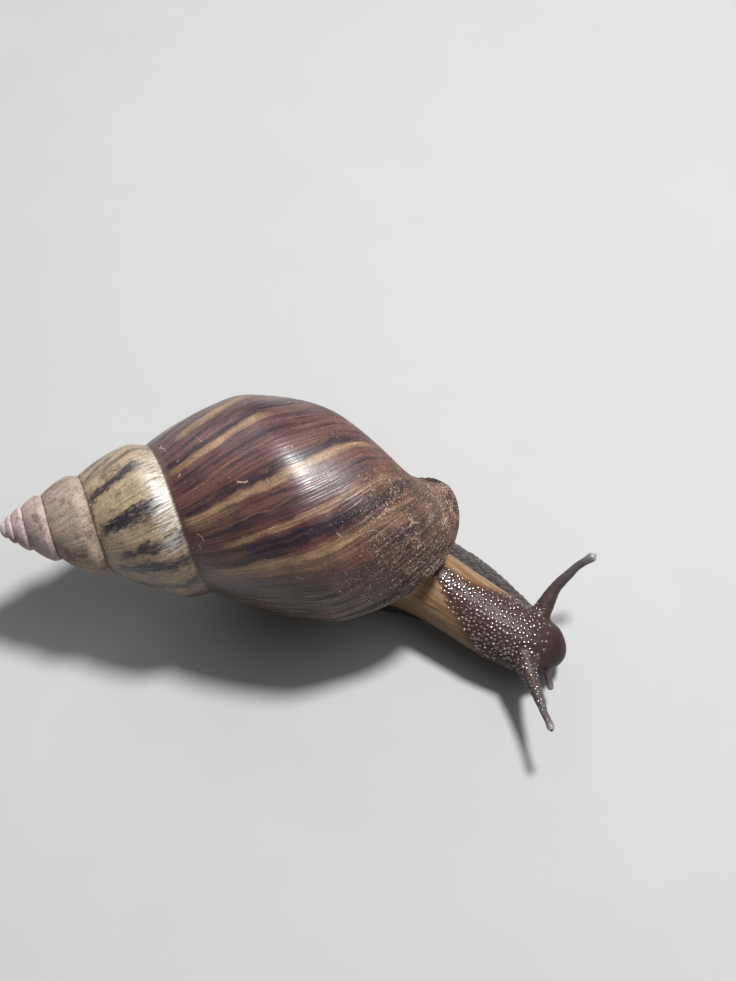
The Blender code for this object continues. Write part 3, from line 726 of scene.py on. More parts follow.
def shell_outside():
    """Glossy brown shell with golden streaks, a tan spire and a crusted front."""
    material, w, shader = new_material("shell_outside", {
        "Roughness": 0.36, "Specular IOR Level": 0.40, "Coat Roughness": 0.50,
    })
    turn, depth, _ = w.split(w.out('ShaderNodeUVMap', uv_map="growth"))
    degrees = w.times(turn, 360.0)
    place = w.place()

    def lines(period, along, detail=2.0, shift=0.0):
        """Noise drawn out along the growth lines."""
        at = w.point(w.over(degrees, period), w.plus(shift, depth, along))
        return w.noise(at, 1.0, detail, dimensions='2D')

    on_body = w.smooth(turn, -0.78, -0.62)
    on_spire = w.rest(on_body)
    wander = w.minus(lines(26.0, 3.2, 3.0), 0.5)
    ragged = w.times(w.minus(lines(4.0, 11.0, 3.0, 9.0), 0.5), w.plus(3.0, on_spire, 9.0))
    growth = w.math('ADD', ragged, w.plus(degrees, wander, 6.0))
    streak = streak_group()

    def streaks(table):
        """The strongest of a table's streaks at each place."""
        masks = []
        for row in table:
            values = {"Growth": growth, "Depth": depth, **dict(zip(STREAK_COLUMNS, row))}
            masks.append(w.group(streak, values)["Mask"])
        return w.most(*masks)

    # Ground colours with painted shade towards the lip, bands and streaks
    fine = lines(1.0, 1.8, 3.0)
    medium = lines(3.2, 2.0, 3.0, 4.0)
    stops = [((t + SPIRE_START) / SPIRE_SPAN, colour) for t, colour in SPIRE_COLOURS_AND_SHADE]
    base = w.ramp(w.over(w.math('ADD', turn, SPIRE_START), SPIRE_SPAN), stops)
    blotches = w.smooth(w.noise(place, 330.0, 4.0, 0.62), 0.50, 0.66)
    red = w.smooth(lines(6.0, 1.6, 2.0, 20.0), 0.5, 0.66)
    broken = w.smooth(lines(1.8, 9.0, 2.0, 31.0), 0.3, 0.5, 0.7, 1.0)
    base = w.paint(
        base,
        (w.times(blotches, on_spire, 0.7), STAIN),
        (w.times(w.smooth(medium, 0.46, 0.66), on_body, 0.75), DARK_PURPLE),
        (w.times(red, on_body, 0.5), REDDISH),
        (w.times(streaks(DARK_STREAKS), broken), DARK_PURPLE),
        (w.times(streaks(FLAMES), broken), FLAME_BROWN),
        (w.times(streaks(GOLD_STREAKS), w.smooth(fine, 0.25, 0.5, 0.55, 0.9)), GOLD),
    )

    # Crust and furrows behind the lip
    near_lip = w.smooth(degrees, 52.0, 86.0)
    low = w.smooth(depth, 1.75, 2.15)
    furrowed = w.most(near_lip, w.times(low, w.smooth(degrees, 15.0, 45.0), 0.7))
    dark_lines = w.smooth(lines(2.4, 2.0, 4.0, 90.0), 0.40, 0.54)
    crusted = w.smooth(w.noise(place, 190.0, 4.0, 0.6), 0.44, 0.60)
    tan_lines = w.smooth(lines(1.9, 4.0, 4.0, 110.0), 0.55, 0.64)
    base = w.paint(
        base,
        (w.times(w.smooth(lines(8.0, 2.6, 3.0, 140.0), 0.50, 0.60), furrowed, 0.65), AMBER),
        (w.times(dark_lines, furrowed, 0.85), LIP_DARK),
        (w.times(near_lip, 0.52), LIP_DARK),
        (w.times(crusted, furrowed, 0.4), LIP_DARK),
        (w.times(tan_lines, furrowed, 0.36), LIP_TAN),
    )
    base = w.shade(base, w.smooth(fine, 0.3, 0.7, 0.78, 1.22))

    # Worn whitish band with a painted highlight above the last suture, the suture's crease and the
    # dusty base
    on_penultimate = w.times(w.smooth(turn, -1.12, -1.02), w.smooth(turn, -0.92, -0.82, 1.0, 0.0))
    scratched = w.smooth(lines(1.1, 5.0, 3.0, 50.0), 0.40, 0.58)
    # real wear plus a painted highlight where the whorl above the last suture faces the light
    worn_and_sheen = w.times(w.smooth(depth, 1.50, 1.70), on_penultimate, scratched)
    rough_place = w.noise(place, 1100.0, 3.0, 0.6)
    ragged_depth = w.plus(depth, w.minus(rough_place, 0.5), -0.12)
    lower_crease = w.times(w.smooth(depth, DEPTH_RATIO - 0.03, DEPTH_RATIO - 0.006),
                           w.smooth(turn, -0.70, -0.66, 1.0, 0.0))
    crease = w.most(w.smooth(ragged_depth, 1.005, 1.035, 1.0, 0.0), lower_crease)
    by_lip = w.times(near_lip, w.smooth(depth, 1.5, 2.0))
    dusty = w.most(w.times(w.smooth(depth, 2.02, 2.5), 0.9), w.times(by_lip, 0.2))
    patchy = w.smooth(w.noise(place, 420.0, 5.0, 0.65), 0.36, 0.62)

    # Specks, hairs and scratches
    cover = w.plus(w.smooth(degrees, -20.0, 70.0, 0.06, 0.22), w.smooth(depth, 1.5, 2.1), 0.24)
    cover = w.plus(cover, w.times(crusted, furrowed), 0.22)
    specks = w.group(speck_group(), {"Vector": place, "Speck Size": 0.34 * MM, "Cover": cover})
    hairs = w.group(hair_group(), {
        "Vector": place, "Curl Size": 7.0 * MM, "Cover": w.plus(0.15, furrowed, 0.5),
    })
    marks = w.most(w.times(specks["Mask"], on_body, 0.7), w.times(hairs["Mask"], 0.7))
    base = w.paint(
        base,
        (w.times(worn_and_sheen, 0.65), WORN_WHITE_AND_SHEEN),
        (w.times(crease, 0.8), SUTURE_BROWN),
        (w.times(dusty, patchy, on_body, 0.75), DUST),
        (marks, SPECK_PALE),
    )
    base = mottled(w, base, place, 3.5 * MM, w.plus(0.5, furrowed, 0.5), w.plus(0.6, furrowed, 0.6))

    # Gloss and fine relief
    chalky = w.smooth(turn, -1.25, -1.6, 0.0, 0.9)
    matt = w.most(w.times(dusty, patchy), w.times(marks, 1.2), chalky, w.times(furrowed, 0.12),
                  w.times(low, on_body, 0.5))
    rough = w.smooth(matt, 0.0, 1.0, 0.30, 0.80)
    rough = w.plus(rough, w.minus(lines(1.3, 1.0, 3.0, 130.0), 0.5), 0.4)
    rough = w.plus(rough, w.minus(rough_place, 0.5), 0.2, clamp=True)
    spirals = w.noise(w.point(w.over(degrees, 14.0), w.times(depth, 46.0)), 1.0, 1.0,
                      dimensions='2D')
    height = w.math('ADD', lines(1.0, 1.4, 3.0, 70.0), w.times(medium, 0.9))
    height = w.plus(height, spirals, 0.14)
    height = w.plus(height, rough_place, w.plus(0.15, furrowed, 1.5))
    height = w.plus(height, marks, 0.8)
    height = w.plus(height, dark_lines, w.times(furrowed, -2.2))
    w.fill(shader, {
        "Base Color": base, "Roughness": rough, "Normal": w.bump(height, 0.08 * MM, 1.0),
        "Coat Weight": w.smooth(w.most(matt, furrowed), 0.0, 0.7, 0.4, 0.0),
    })
    return material


def shell_inside():
    """Smooth, faintly bluish porcelain."""
    material, w, shader = new_material("shell_inside", {"Roughness": 0.2})
    place = w.place()
    colour = w.mix(w.noise(place, 140.0, 3.0), (0.62, 0.62, 0.68), (0.72, 0.67, 0.62))
    w.put(shader["Base Color"], mottled(w, colour, place, 4.0 * MM, 0.1, 0.04))
    return material


# --------------------------------------------------------------------- body
def skin_rings(mesh, rings):
    """Faces between neighbouring rings of points, with a cap at each end."""
    made = [[mesh.verts.new(p) for p in ring] for ring in rings]
    for lower, upper in zip(made, made[1:]):
        for i in range(len(lower)):
            j = (i + 1) % len(lower)
            mesh.faces.new((lower[i], lower[j], upper[j], upper[i]))
    mesh.faces.new(made[0])
    mesh.faces.new(made[-1])


def line_through(curves, t, last):
    """Points on a line through stations, and its direction at each of them."""
    ahead, behind = np.minimum(t + LOOK, last), np.maximum(t - LOOK, 0.0)
    centre = np.stack([c(t) for c in curves], axis=-1)
    return centre, unit(np.stack([c(ahead) - c(behind) for c in curves], axis=-1))


def add_ovals(mesh, centre, first, second, wide, tall, sides):
    """Oval sections round their centres, with half sizes along two directions."""
    angle = np.linspace(0.0, 2.0 * math.pi, sides, endpoint=False)[None, :, None]
    out = first * np.cos(angle) * wide[:, None, None]
    out = out + second * np.sin(angle) * tall[:, None, None]
    skin_rings(mesh, centre[:, None] + out)


def add_loft(mesh, stations, rings, sides):
    """Oval sections, upright and square to the line through the stations."""
    x, y, z, *radii = station_curves(stations, range(3, len(stations[0])))
    last = len(stations) - 1
    t = np.linspace(0.0, 1.0, rings + 1)
    t = (t + CROWDED_ENDS * (np.sin(t * math.pi / 2.0) - t)) * last
    t[-1] = last - END_GAP
    centre, along = line_through((x, y, z), t, last)
    side = unit(np.cross((0.0, 0.0, 1.0), along))
    up = np.cross(along, side)
    add_ovals(mesh, centre, side[:, None], up[:, None], radii[0](t), radii[-1](t), sides)


def foot_height(across, high):
    """Height of the foot's upper side, for a share of the way across it."""
    rise = (1.0 - np.abs(across) ** FOOT_FLATNESS) ** FOOT_SHOULDER
    return FOOT_EDGE + (high - FOOT_EDGE) * rise


def add_foot(mesh, rings=120):
    """Foot from the tail's tip to the front, with a flat sole and a thin margin."""
    x, y, half, high = station_curves(FOOT_STATIONS, (2,))
    last = len(FOOT_STATIONS) - 1
    t = np.linspace(0.0, 1.0, rings + 1)
    t = (t + CROWDED_ENDS * ((1.0 - np.cos(t * math.pi)) / 2.0 - t)) * last
    t[0], t[-1] = END_GAP, last - END_GAP
    centre, along = line_through((x, y, np.zeros_like), t, last)
    side = np.stack((-along[:, 1], along[:, 0], 0.0 * t), axis=-1)
    back = np.cos(np.linspace(0.0, math.pi, 41))
    across = np.concatenate((back, np.linspace(-SOLE_SHARE, SOLE_SHARE, 15)))
    points = centre[:, None] + side[:, None] * (half(t)[:, None] * across)[..., None]
    points[:, :len(back), 2] = foot_height(back, high(t)[:, None])
    skin_rings(mesh, points)


def add_trunk(mesh, rings=24, sides=64):
    """Level oval sections from the foot up into the shell."""
    x, y, z, long, wide = station_curves(TRUNK_STATIONS, (3, 4))
    t = np.linspace(0.0, len(TRUNK_STATIONS) - 1.0, rings + 1)
    rear, front = (np.array(FOOT_STATIONS[i][:2] + (0.0,)) for i in SLANT_STATIONS)
    along = unit(front - rear)
    side = np.array((-along[1], along[0], 0.0))
    centre = np.stack((x(t), y(t), z(t)), axis=-1)
    add_ovals(mesh, centre, along, side, long(t), wide(t), sides)


def opening_loop(corner_turn, corner_depth):
    """Points round the opening, which may leave out its sharp inner corner."""
    lip = spaced_depths(1.0, BASE_END, 60)[:-1]
    rows = np.linspace(0.0, 360.0 - SUTURE_LAG - corner_turn, 40)
    back = np.linspace(BASE_END - corner_depth, DEPTH_RATIO, 16)[:-1]
    first = LIP_AZIMUTH - 360.0 + SUTURE_LAG
    growth = np.concatenate((0.0 * lip + LIP_AZIMUTH, LIP_AZIMUTH - rows, 0.0 * back + first))
    depth = np.concatenate((lip, 0.0 * rows + BASE_END, back))
    return shell_point(growth, depth)


def add_collar(mesh):
    """The mantle's collar, a soft roll that fills the opening just behind the lip."""
    edge = opening_loop(*COLLAR_GAP)
    middle, inward = opening_plane(opening_loop(0.0, 0.0))
    target = middle + THROAT_DEPTH * inward
    rings = []
    for shrink, raised in COLLAR_PROFILE:
        ring = edge + (middle - edge) * shrink
        rise = (target - ring) if raised > 0.0 else THROAT_DEPTH * inward
        rings.append(ring + rise * raised)
    skin_rings(mesh, rings)


def relax(points, edges, weight, rounds):
    """Even the surface out, more where the weight is more."""
    count = np.bincount(edges.ravel(), minlength=len(points))[:, None]
    for _ in range(rounds):
        total = np.zeros_like(points)
        for axis in range(3):
            total[:, axis] += np.bincount(edges[:, 0], points[edges[:, 1], axis], len(points))
            total[:, axis] += np.bincount(edges[:, 1], points[edges[:, 0], axis], len(points))
        points = points + weight[:, None] * (total / np.maximum(count, 1) - points)
    return points


def along_line(points, stations, samples=240, block=20000):
    """For each point: station number, distance and offset from the line, its direction."""
    x, y, z = station_curves(stations)[:3]
    t = np.linspace(0.0, len(stations) - 1.0, samples)
    line = np.stack((x(t), y(t), z(t)), axis=-1)
    best = np.empty(len(points), int)
    for start in range(0, len(points), block):
        part = points[start:start + block]
        best[start:start + block] = ((part[:, None] - line) ** 2).sum(axis=-1).argmin(axis=1)
    offset = points - line[best]
    return t[best], np.linalg.norm(offset, axis=-1), offset, unit(np.gradient(line, axis=0))[best]


def tentacle_masks(points):
    """Place along the nearest tentacle, from 0 at its root to 1 at its tip, and which one."""
    place = np.zeros(len(points))
    which = np.full(len(points), -1)
    for number, stations in enumerate(TENTACLES):
        t, gap, _, _ = along_line(points, stations, samples=120)
        radius = station_curves(stations, (3,))[3](t)
        share = t / (len(stations) - 1.0)
        on = (gap < radius * 1.25 + 0.25 * MM) & (share > 0.12)
        better = on & (share > place)
        place = np.where(better, share, place)
        which = np.where(better, number, which)
    return place, which


def skin_form():
    """One closed skin round foot, trunk, neck, head, tentacles and collar."""
    mesh = bmesh.new()
    add_foot(mesh)
    add_trunk(mesh)
    add_loft(mesh, BODY_STATIONS, rings=90, sides=56)
    add_collar(mesh)
    for stations in TENTACLES:
        add_loft(mesh, stations, rings=60, sides=20)
    bmesh.ops.recalc_face_normals(mesh, faces=mesh.faces)
    form = new_object("skin_form", mesh_data("skin_form", mesh))
    modifier = form.modifiers.new("even", 'REMESH')
    modifier.mode = 'VOXEL'
    modifier.voxel_size = SKIN_VOXEL
    data = evaluated_mesh(form)
    bpy.data.objects.remove(form)
    edges = np.empty(len(data.edges) * 2, np.int32)
    data.edges.foreach_get("vertices", edges)
    points = read_points(data)
    place, _ = tentacle_masks(points)
    weight = 0.5 - 0.42 * smoothstep(0.25, 0.5, place)
    weight = np.where(points[:, 2] < 0.3 * MM, 0.0, weight)
    points = relax(points, edges.reshape(-1, 2), weight, RELAX_ROUNDS)
    data.vertices.foreach_set("co", points.ravel().astype(np.float32))
    return data


def skin_regions(data):
    """Name each part of the skin in attributes that its relief and its colours follow."""
    points = read_points(data)
    station, gap, offset, along = along_line(points, BODY_STATIONS)
    up = unit(np.array((0.0, 0.0, 1.0)) - along * along[:, 2:3])
    sideways = (offset * np.cross(up, along)).sum(axis=1)
    upward = (offset * up).sum(axis=1)
    around = np.degrees(np.arctan2(sideways, upward))
    tentacle, which = tentacle_masks(points)
    wide, tall = station_curves(BODY_STATIONS, (3, 4))[3:]
    reach = np.maximum(wide(station), tall(station))
    on_neck = smoothstep(1.22, 1.08, gap / np.maximum(reach, 2.0 * MM))
    on_neck = np.where(tentacle > 0.3, 0.0, on_neck) * smoothstep(0.6, 1.6, station)

    foot_line = [row[:2] + (0.0,) for row in FOOT_STATIONS]
    t, _, away, ahead = along_line(points * (1.0, 1.0, 0.0), foot_line)
    half, high = station_curves(FOOT_STATIONS, (2,))[2:]
    across = (away * np.cross((0.0, 0.0, 1.0), ahead)).sum(axis=1)
    across = np.clip(across / np.maximum(half(t), 0.1 * MM), -1.0, 1.0)
    on_foot = smoothstep(0.9 * MM, 0.2 * MM, points[:, 2] - foot_height(across, high(t)))

    middle, inward = opening_plane(opening_loop(0.0, 0.0))
    collar = smoothstep(-3.0 * MM, -0.5 * MM, (points - middle) @ inward)
    collar = collar * (1.0 - on_foot) * smoothstep(14.0 * MM, 17.0 * MM, points[:, 2])

    centre = smooth_curve([(s, m) for s, m, _ in BACK_BAND])(station)
    half_band = smooth_curve([(s, h) for s, _, h in BACK_BAND])(station)
    from_centre = np.abs(around - centre)
    band = smoothstep(1.8, 0.55, from_centre / half_band) * on_neck
    band = band * smoothstep(1.8, 2.3, station)
    band = np.maximum.reduce((band, smoothstep(0.1, 0.25, tentacle), smoothstep(4.2, 4.7, station)))

    tubercles = smoothstep(1.1, 0.8, from_centre / (half_band * 1.1 + 6.0))
    tubercles = tubercles * on_neck * smoothstep(1.9, 2.5, station) * smoothstep(6.0, 5.0, station)
    tubercles = tubercles * smoothstep(105.0, 80.0, np.abs(around + 10.0))
    facing = smoothstep(-0.1, 0.5, upward / np.maximum(gap, 1e-6))
    on_stalk = smoothstep(0.12, 0.2, tentacle) * smoothstep(0.96, 0.7, tentacle)
    on_stalk = np.where(which == TENTACLES.index(UPPER_RIGHT), on_stalk, 0.0)
    tubercles = np.maximum(tubercles * (0.4 + 0.6 * facing), on_stalk)

    arch = np.abs(upward - MOUTH_HEIGHT + MOUTH_ARCH * sideways ** 2)
    arch = smoothstep(0.36 * MM, 0.1 * MM, arch)
    arch = arch * smoothstep(1.0, 0.7, np.abs(sideways) / MOUTH_HALF_WIDTH)
    slit = smoothstep(0.34 * MM, 0.1 * MM, np.abs(sideways))
    slit = slit * smoothstep(0.0, -0.4 * MM, upward - MOUTH_HEIGHT)
    mouth = np.maximum(arch, slit) * smoothstep(6.6, 7.1, station) * (tentacle < 0.12)

    for name, values in (
        ("station", station), ("around", around / 180.0), ("neck", on_neck),
        ("tentacle", tentacle), ("foot", on_foot), ("collar", collar), ("band", band),
        ("tubercles", tubercles), ("mouth", mouth * (1.0 - on_foot)),
    ):
        add_layer(data, name, values)


def relief_tree():
    """Presses net-like furrows into the foot and long fine furrows into the neck."""
    w, given, result = new_group('GeometryNodeTree', "skin_relief", {
        "Skin": GEOMETRY, "Ripple Size": FLOAT, "Ripple Depth": FLOAT, "Net Depth": FLOAT,
        "Furrow Count": FLOAT, "Furrow Depth": FLOAT, "Mouth Depth": FLOAT, "Seed": FLOAT,
        "Finish": MATERIAL,
    }, {"Skin": GEOMETRY})
    place = w.out('GeometryNodeInputPosition')
    neck, station = w.named("neck"), w.named("station")
    clear = w.smooth(w.split(place)[2], 0.25 * MM, 1.0 * MM)
    outside = w.rest(w.named("tentacle"))
    trunk = w.times(w.rest(neck), w.rest(w.named("collar")))
    net = w.times(w.smooth(w.net_edges(place), 0.0, 0.22, 1.0, 0.0), given["Net Depth"])
    net = w.times(net, clear, w.most(w.named("foot"), w.times(trunk, 0.6)), outside)
    way = w.point(w.times(w.named("around"), given["Furrow Count"]), w.times(station, 1.6))
    furrows = w.smooth(w.noise(way, 1.0, 1.0, seed=given["Seed"]), 0.32, 0.62, 1.0, 0.0)
    fade = w.times(neck, w.smooth(station, 5.4, 6.6, 1.0, 0.25), clear)
    furrows = w.times(furrows, given["Furrow Depth"], fade)
    ripple = w.noise(w.in_sizes(place, given["Ripple Size"]), seed=given["Seed"])
    ripple = w.times(ripple, given["Ripple Depth"], clear, outside)
    mouth = w.times(w.named("mouth"), given["Mouth Depth"])
    sunk = w.math('ADD', w.math('ADD', net, furrows), w.math('ADD', ripple, mouth))
    offset = w.vector('SCALE', w.out('GeometryNodeInputNormal'), w.times(sunk, -1.0))
    pressed = w.out('GeometryNodeSetPosition', {"Geometry": given["Skin"], "Offset": offset})
    return w.finish(pressed, given["Finish"], result)


def tubercle_tree():
    """Scatters small wet domes over the back of the neck and the right upper tentacle."""
    w, given, result = new_group('GeometryNodeTree', "scatter_tubercles", {
        "Skin": GEOMETRY, "Spacing": FLOAT, "Width": FLOAT, "Flatness": FLOAT,
        "Crowding": FLOAT, "Seed": COUNT, "Finish": MATERIAL,
    }, {"Tubercles": GEOMETRY})
    points = w.add('GeometryNodeDistributePointsOnFaces', {
        "Mesh": given["Skin"], "Distance Min": given["Spacing"], "Density Max": TUBERCLE_DENSITY,
        "Density Factor": w.named("tubercles"), "Seed": given["Seed"],
    }, distribute_method='POISSON').outputs
    dome = w.out('GeometryNodeMeshUVSphere', {"Segments": 8, "Rings": 5, "Radius": 0.5})
    spread = w.add('FunctionNodeRandomValue', {2: 0.6, 3: 1.2, "Seed": given["Seed"]},
                   data_type='FLOAT').outputs[1]
    station = w.named("station")
    # Smaller on the tentacle, and smallest on its underside
    on_stalk = w.smooth(w.named("tentacle"), 0.1, 0.4)
    upward = w.split(points["Normal"])[2]
    under = w.times(on_stalk, w.smooth(upward, 0.3, 0.8, 0.45, 0.0))
    wide = w.times(given["Width"], spread, w.plus(0.95, on_stalk, -0.2), w.rest(under))
    # Wider and flatter where they crowd together near the shell's lip
    brim = w.times(w.smooth(station, 2.1, 2.4), w.smooth(station, 2.9, 3.4, 1.0, 0.0))
    wide = w.times(wide, w.plus(1.0, brim, given["Crowding"]))
    high = w.times(wide, given["Flatness"], w.rest(w.times(brim, given["Crowding"])))
    placed = w.out('GeometryNodeInstanceOnPoints', {
        "Points": points["Points"], "Instance": dome, "Rotation": points["Rotation"],
        "Scale": w.point(w.times(wide, 1.25), w.times(wide, 0.85), high),
    })
    return w.finish(placed, given["Finish"], result)


def build_skin():
    data = skin_form()
    skin_regions(data)
    form = new_object("skin_form", data)
    skin = run_tree(form, relief_tree(), {
        "Ripple Size": 2.2 * MM, "Ripple Depth": 0.1 * MM, "Net Depth": 0.18 * MM,
        "Furrow Count": 34.0, "Furrow Depth": 0.12 * MM, "Mouth Depth": 0.4 * MM, "Seed": 5.0,
        "Finish": skin_finish(),
    })
    bpy.data.objects.remove(form)
    skin = new_object("snail_skin", skin)
    bumps = run_tree(skin, tubercle_tree(), {
        "Spacing": 0.66 * MM, "Width": 0.74 * MM, "Flatness": 0.42, "Crowding": 0.3,
        "Seed": 11, "Finish": tubercle_finish(),
    })
    return skin, new_object("skin_tubercles", bumps)


# ------------------------------------------------------------- body finishes
NECK_TAN = (0.295, 0.174, 0.089)
NECK_LINES = (0.190, 0.100, 0.051)
NECK_PALE = (0.36, 0.25, 0.155)
# painted shade for the underside of the neck
NECK_PAINTED_SHADE = (0.095, 0.053, 0.030)
BAND_EDGE = (0.150, 0.072, 0.036)
BAND_BROWN = (0.066, 0.029, 0.021)
HEAD_BROWN = (0.051, 0.027, 0.024)
SNOUT_PURPLE = (0.025, 0.012, 0.011)
# painted shade for the mouth's slit and groove
MOUTH_PAINTED_SHADE = (0.016, 0.009, 0.008)
FOOT_GREY = (0.072, 0.060, 0.058)
FOOT_FURROWS = (0.020, 0.015, 0.014)
SOLE_PALE = (0.22, 0.17, 0.13)
COLLAR_TAN = (0.20, 0.13, 0.08)
STALK_COLOURS = (
    # place along the tentacle, colour
    (0.10, HEAD_BROWN), (0.35, (0.064, 0.044, 0.042)), (0.70, (0.098, 0.080, 0.082)),
    (0.86, (0.18, 0.162, 0.160)), (0.95, (0.32, 0.290, 0.27)),
)
REGIONS = ("station", "around", "tentacle", "band", "foot", "collar", "mouth")


def skin_colour_group():
    """The skin's colours: tan flanks with painted shade on their undersides, a dark band that
    widens to the whole head, grey foot.
    """
    w, given, result = new_group('ShaderNodeTree', "skin_colour", {
        "Vector": VECTOR, **dict.fromkeys(REGIONS, 0.0),
    }, {"Color": COLOUR, "Fibres": FLOAT})
    place, station, around = given["Vector"], given["station"], given["around"]
    height = w.split(place)[2]
    way = w.point(w.times(around, 44.0), w.times(station, 0.9))
    hairline = w.noise(way, 1.0, 2.0, dimensions='2D')
    broad = w.noise(w.point(w.times(around, 17.0), w.times(station, 0.6), 3.0), 1.0, 1.0)
    on_neck = w.smooth(station, 1.4, 2.6, 0.35, 1.0)
    # painted shade: the flanks darken as they turn under the neck
    painted_shade_below = w.smooth(w.math('ABSOLUTE', around), 0.30, 0.62)
    tan = w.paint(
        NECK_TAN,
        (w.times(w.smooth(hairline, 0.62, 0.35), on_neck), NECK_LINES),
        (w.times(w.smooth(broad, 0.42, 0.68, 0.0, 0.5), on_neck), NECK_PALE),
        (w.times(painted_shade_below, 0.8), NECK_PAINTED_SHADE),
    )
    head = w.paint(
        BAND_BROWN,
        (w.smooth(station, 3.2, 5.2), HEAD_BROWN),
        (w.smooth(station, 5.6, 6.8), SNOUT_PURPLE),
    )
    furrow = w.smooth(w.net_edges(place), 0.0, 0.2, 0.75, 0.0)
    foot = w.mix(w.times(furrow, w.smooth(height, 0.2 * MM, 0.8 * MM)), FOOT_GREY, FOOT_FURROWS)
    foot = w.mix(w.smooth(height, 0.1 * MM, 0.6 * MM), SOLE_PALE, foot)
    edge = w.plus(given["band"], w.minus(hairline, 0.5), 0.4)
    colour = w.paint(
        tan,
        (w.smooth(edge, 0.0, 0.45), BAND_EDGE),
        (w.smooth(edge, 0.25, 0.85), head),
        # painted shade in the mouth's slit and under the arch of the upper lip
        (w.times(given["mouth"], 0.8), MOUTH_PAINTED_SHADE),
        (given["foot"], foot),
        (given["collar"], COLLAR_TAN),
        (w.smooth(given["tentacle"], 0.08, 0.22), w.ramp(given["tentacle"], STALK_COLOURS)),
    )
    w.put(result["Color"], mottled(w, colour, place, 1.6 * MM, 0.22, 0.14))
    w.put(result["Fibres"], hairline)
    return w.tree


def skin_colours(w):
    """The skin colour group in a material, joined to the regions it follows."""
    tree = bpy.data.node_groups.get("skin_colour") or skin_colour_group()
    regions = {n: w.add('ShaderNodeAttribute', attribute_name=n).outputs["Fac"] for n in REGIONS}
    place = w.place()
    made = w.group(tree, {"Vector": place, **regions})
    return made["Color"], made["Fibres"], place, regions


def skin_finish():
    """Moist skin, duller on the snout and the tan flanks than on the foot."""
    material, w, shader = new_material("moist_skin", {
        "Roughness": 0.35, "Coat Roughness": 0.16, "Specular IOR Level": 0.22,
        "Subsurface Weight": 0.12, "Subsurface Radius": (0.9, 0.4, 0.25),
        "Subsurface Scale": 0.6 * MM,
    })
    colour, fibres, place, region = skin_colours(w)
    rough = w.plus(0.30, w.noise(place, 900.0, 2.0), 0.25)
    rough = w.plus(rough, region["foot"], -0.18)
    rough = w.plus(rough, w.smooth(region["tentacle"], 0.5, 0.9), -0.18)
    film = w.times(region["band"], w.smooth(region["station"], 2.2, 2.5),
                   w.smooth(region["station"], 2.8, 3.2, 1.0, 0.0))
    height = w.plus(w.noise(place, 2600.0, 2.0), fibres, 0.6)
    w.fill(shader, {
        "Base Color": colour, "Roughness": rough, "Normal": w.bump(height, 0.05 * MM, 0.8),
        "Coat Weight": w.times(film, w.smooth(w.noise(place, 700.0, 2.0), 0.4, 0.6)),
    })
    return material


def tubercle_finish():
    """The tubercles' own film of slime, glossier than the skin round them."""
    material, w, shader = new_material("wet_tubercles", {
        "Roughness": 0.16, "Coat Weight": 1.0, "Coat Roughness": 0.12, "Coat IOR": 2.2,
    })
    colour, _, place, _ = skin_colours(w)
    rough = w.plus(0.08, w.noise(place, 1500.0, 1.0), 0.14)
    w.fill(shader, {"Base Color": colour, "Roughness": rough})
    return material


# --------------------------------------------------------------------- eyes
def build_eye(name, stations):
    """A small black bead set in the tentacle's tip."""
    x, y, z = station_curves(stations)[:3]
    last = len(stations) - 1.0
    tip, root = (np.array((x(t), y(t), z(t))) for t in (last, last - 1.0))
    centre = Vector(tip - unit(tip - root) * EYE_RADIUS * EYE_SINK)
    mesh = bmesh.new()
    bmesh.ops.create_icosphere(mesh, subdivisions=3, radius=EYE_RADIUS)
    for vertex in mesh.verts:
        vertex.co = centre + vertex.co
    for face in mesh.faces:
        face.smooth = True
    return new_object(name, mesh_data(name, mesh))


def eye_finish():
    """Wet black with a brown cast."""
    material, w, shader = new_material("eye_black", {"Roughness": 0.08})
    colour = mottled(w, (0.012, 0.009, 0.009), w.place(), 0.2 * MM, 0.3, 0.1)
    w.put(shader["Base Color"], colour)
    return material


# -------------------------------------------------------------------- stage
CAMERA_LENS = 58.7
CAMERA_SENSOR = 36.0
CAMERA_ELEVATION = 60.0
CAMERA_DISTANCE = 0.285
CAMERA_TARGET = (15.0, -2.0, 27.0)      # millimetres
LIGHT_TARGET = (3.6, -8.4, 44.9)        # top of the last whorl, in millimetres
LIGHTS = (
    # name, place seen from the target in metres, size, power, colour
    ("key", (0.155, 0.112, 0.535), 0.10, 4.9, (1.0, 1.0, 1.0)),
    ("fill", (0.22, 0.0, 0.51), 0.5, 0.75, (0.82, 0.89, 1.0)),
    ("back", (-0.35, 0.55, 0.45), 0.5, 1.3, (0.95, 0.97, 1.0)),
)
SKY_COLOUR = (0.92, 0.96, 1.0)
SKY_STRENGTH = 0.11
FLOOR_HALF_WIDTH = 1.6


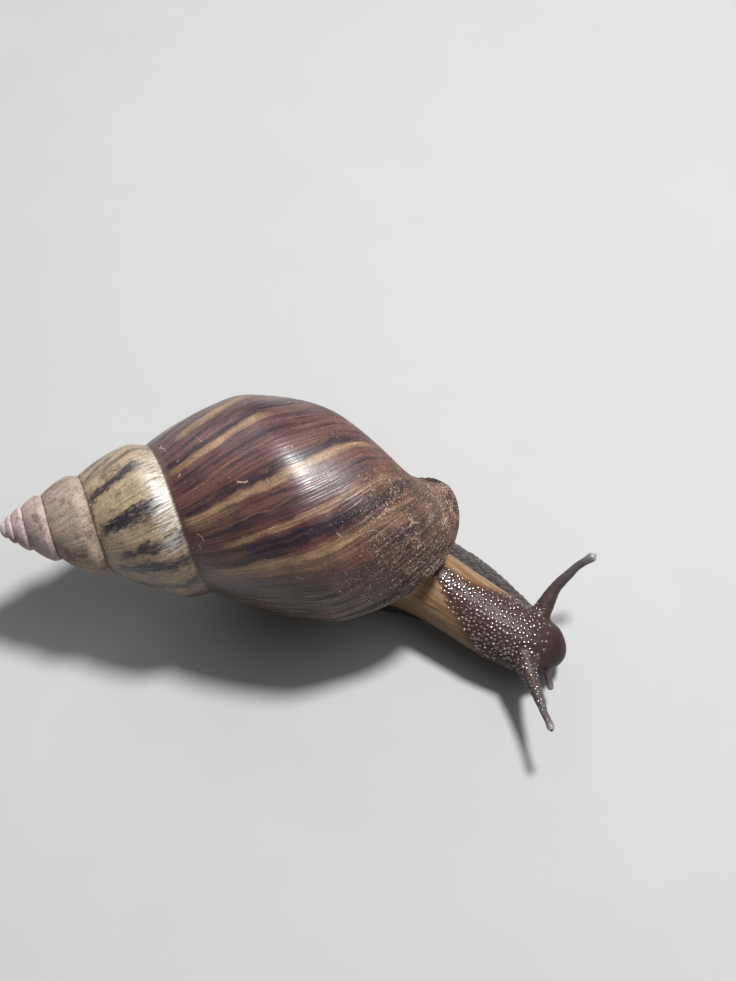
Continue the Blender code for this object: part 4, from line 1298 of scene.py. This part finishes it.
def floor_finish():
    """Plain pale grey."""
    material, w, shader = new_material("pale_floor", {"Roughness": 0.85})
    colour = w.mix(w.noise(w.place(), 60.0, 4.0), (0.43, 0.427, 0.418), (0.455, 0.452, 0.442))
    w.put(shader["Base Color"], colour)
    return material


def add_stage():
    """Pale floor, soft lights and the camera."""
    mesh = bmesh.new()
    bmesh.ops.create_grid(mesh, x_segments=1, y_segments=1, size=FLOOR_HALF_WIDTH)
    data = mesh_data("floor", mesh)
    data.materials.append(floor_finish())
    new_object("floor", data)

    scene = bpy.context.scene
    scene.view_settings.view_transform = 'Standard'
    scene.world = bpy.data.worlds.new("studio")
    scene.world.use_nodes = True
    w = Wiring(scene.world.node_tree)
    w.fill(w.tree.nodes["Background"].inputs, {"Color": SKY_COLOUR, "Strength": SKY_STRENGTH})
    for name, place, size, power, colour in LIGHTS:
        light = bpy.data.lights.new(name, 'AREA')
        light.shape = 'DISK'
        light.size = size
        light.energy = power
        light.color = colour
        obj = new_object(name, light)
        obj.location = Vector(LIGHT_TARGET) * MM + Vector(place)
        obj.rotation_euler = Vector(place).to_track_quat('Z', 'Y').to_euler()

    camera = bpy.data.cameras.new("camera")
    camera.lens = CAMERA_LENS
    camera.sensor_width = CAMERA_SENSOR
    obj = new_object("camera", camera)
    tilt = math.radians(90.0 - CAMERA_ELEVATION)
    back = Vector((0.0, -math.sin(tilt), math.cos(tilt))) * CAMERA_DISTANCE
    obj.location = Vector(CAMERA_TARGET) * MM + back
    obj.rotation_euler = (tilt, 0.0, 0.0)
    scene.camera = obj


def stand_for(piece, slot, *nodes):
    """Put a piece on the one body, in place of the nodes it stands for."""
    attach(piece, "root")
    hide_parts(*nodes)


def main():
    add_stage()
    stand_for(build_shell(), "shell", "shell")
    skin, bumps = build_skin()
    stand_for(skin, "flesh", "mantle", "trunk", "neck", "head", "foot", "tail",
              "tentacle_upper_left", "tentacle_upper_right", "tentacle_lower_left",
              "tentacle_lower_right")
    stand_for(bumps, "flesh", "neck", "head", "tentacle_upper_right")
    black = eye_finish()
    for node, stations in (("eye_left", UPPER_LEFT), ("eye_right", UPPER_RIGHT)):
        eye = build_eye(node + "_bead", stations)
        eye.data.materials.append(black)
        stand_for(eye, "eye", node)


main()
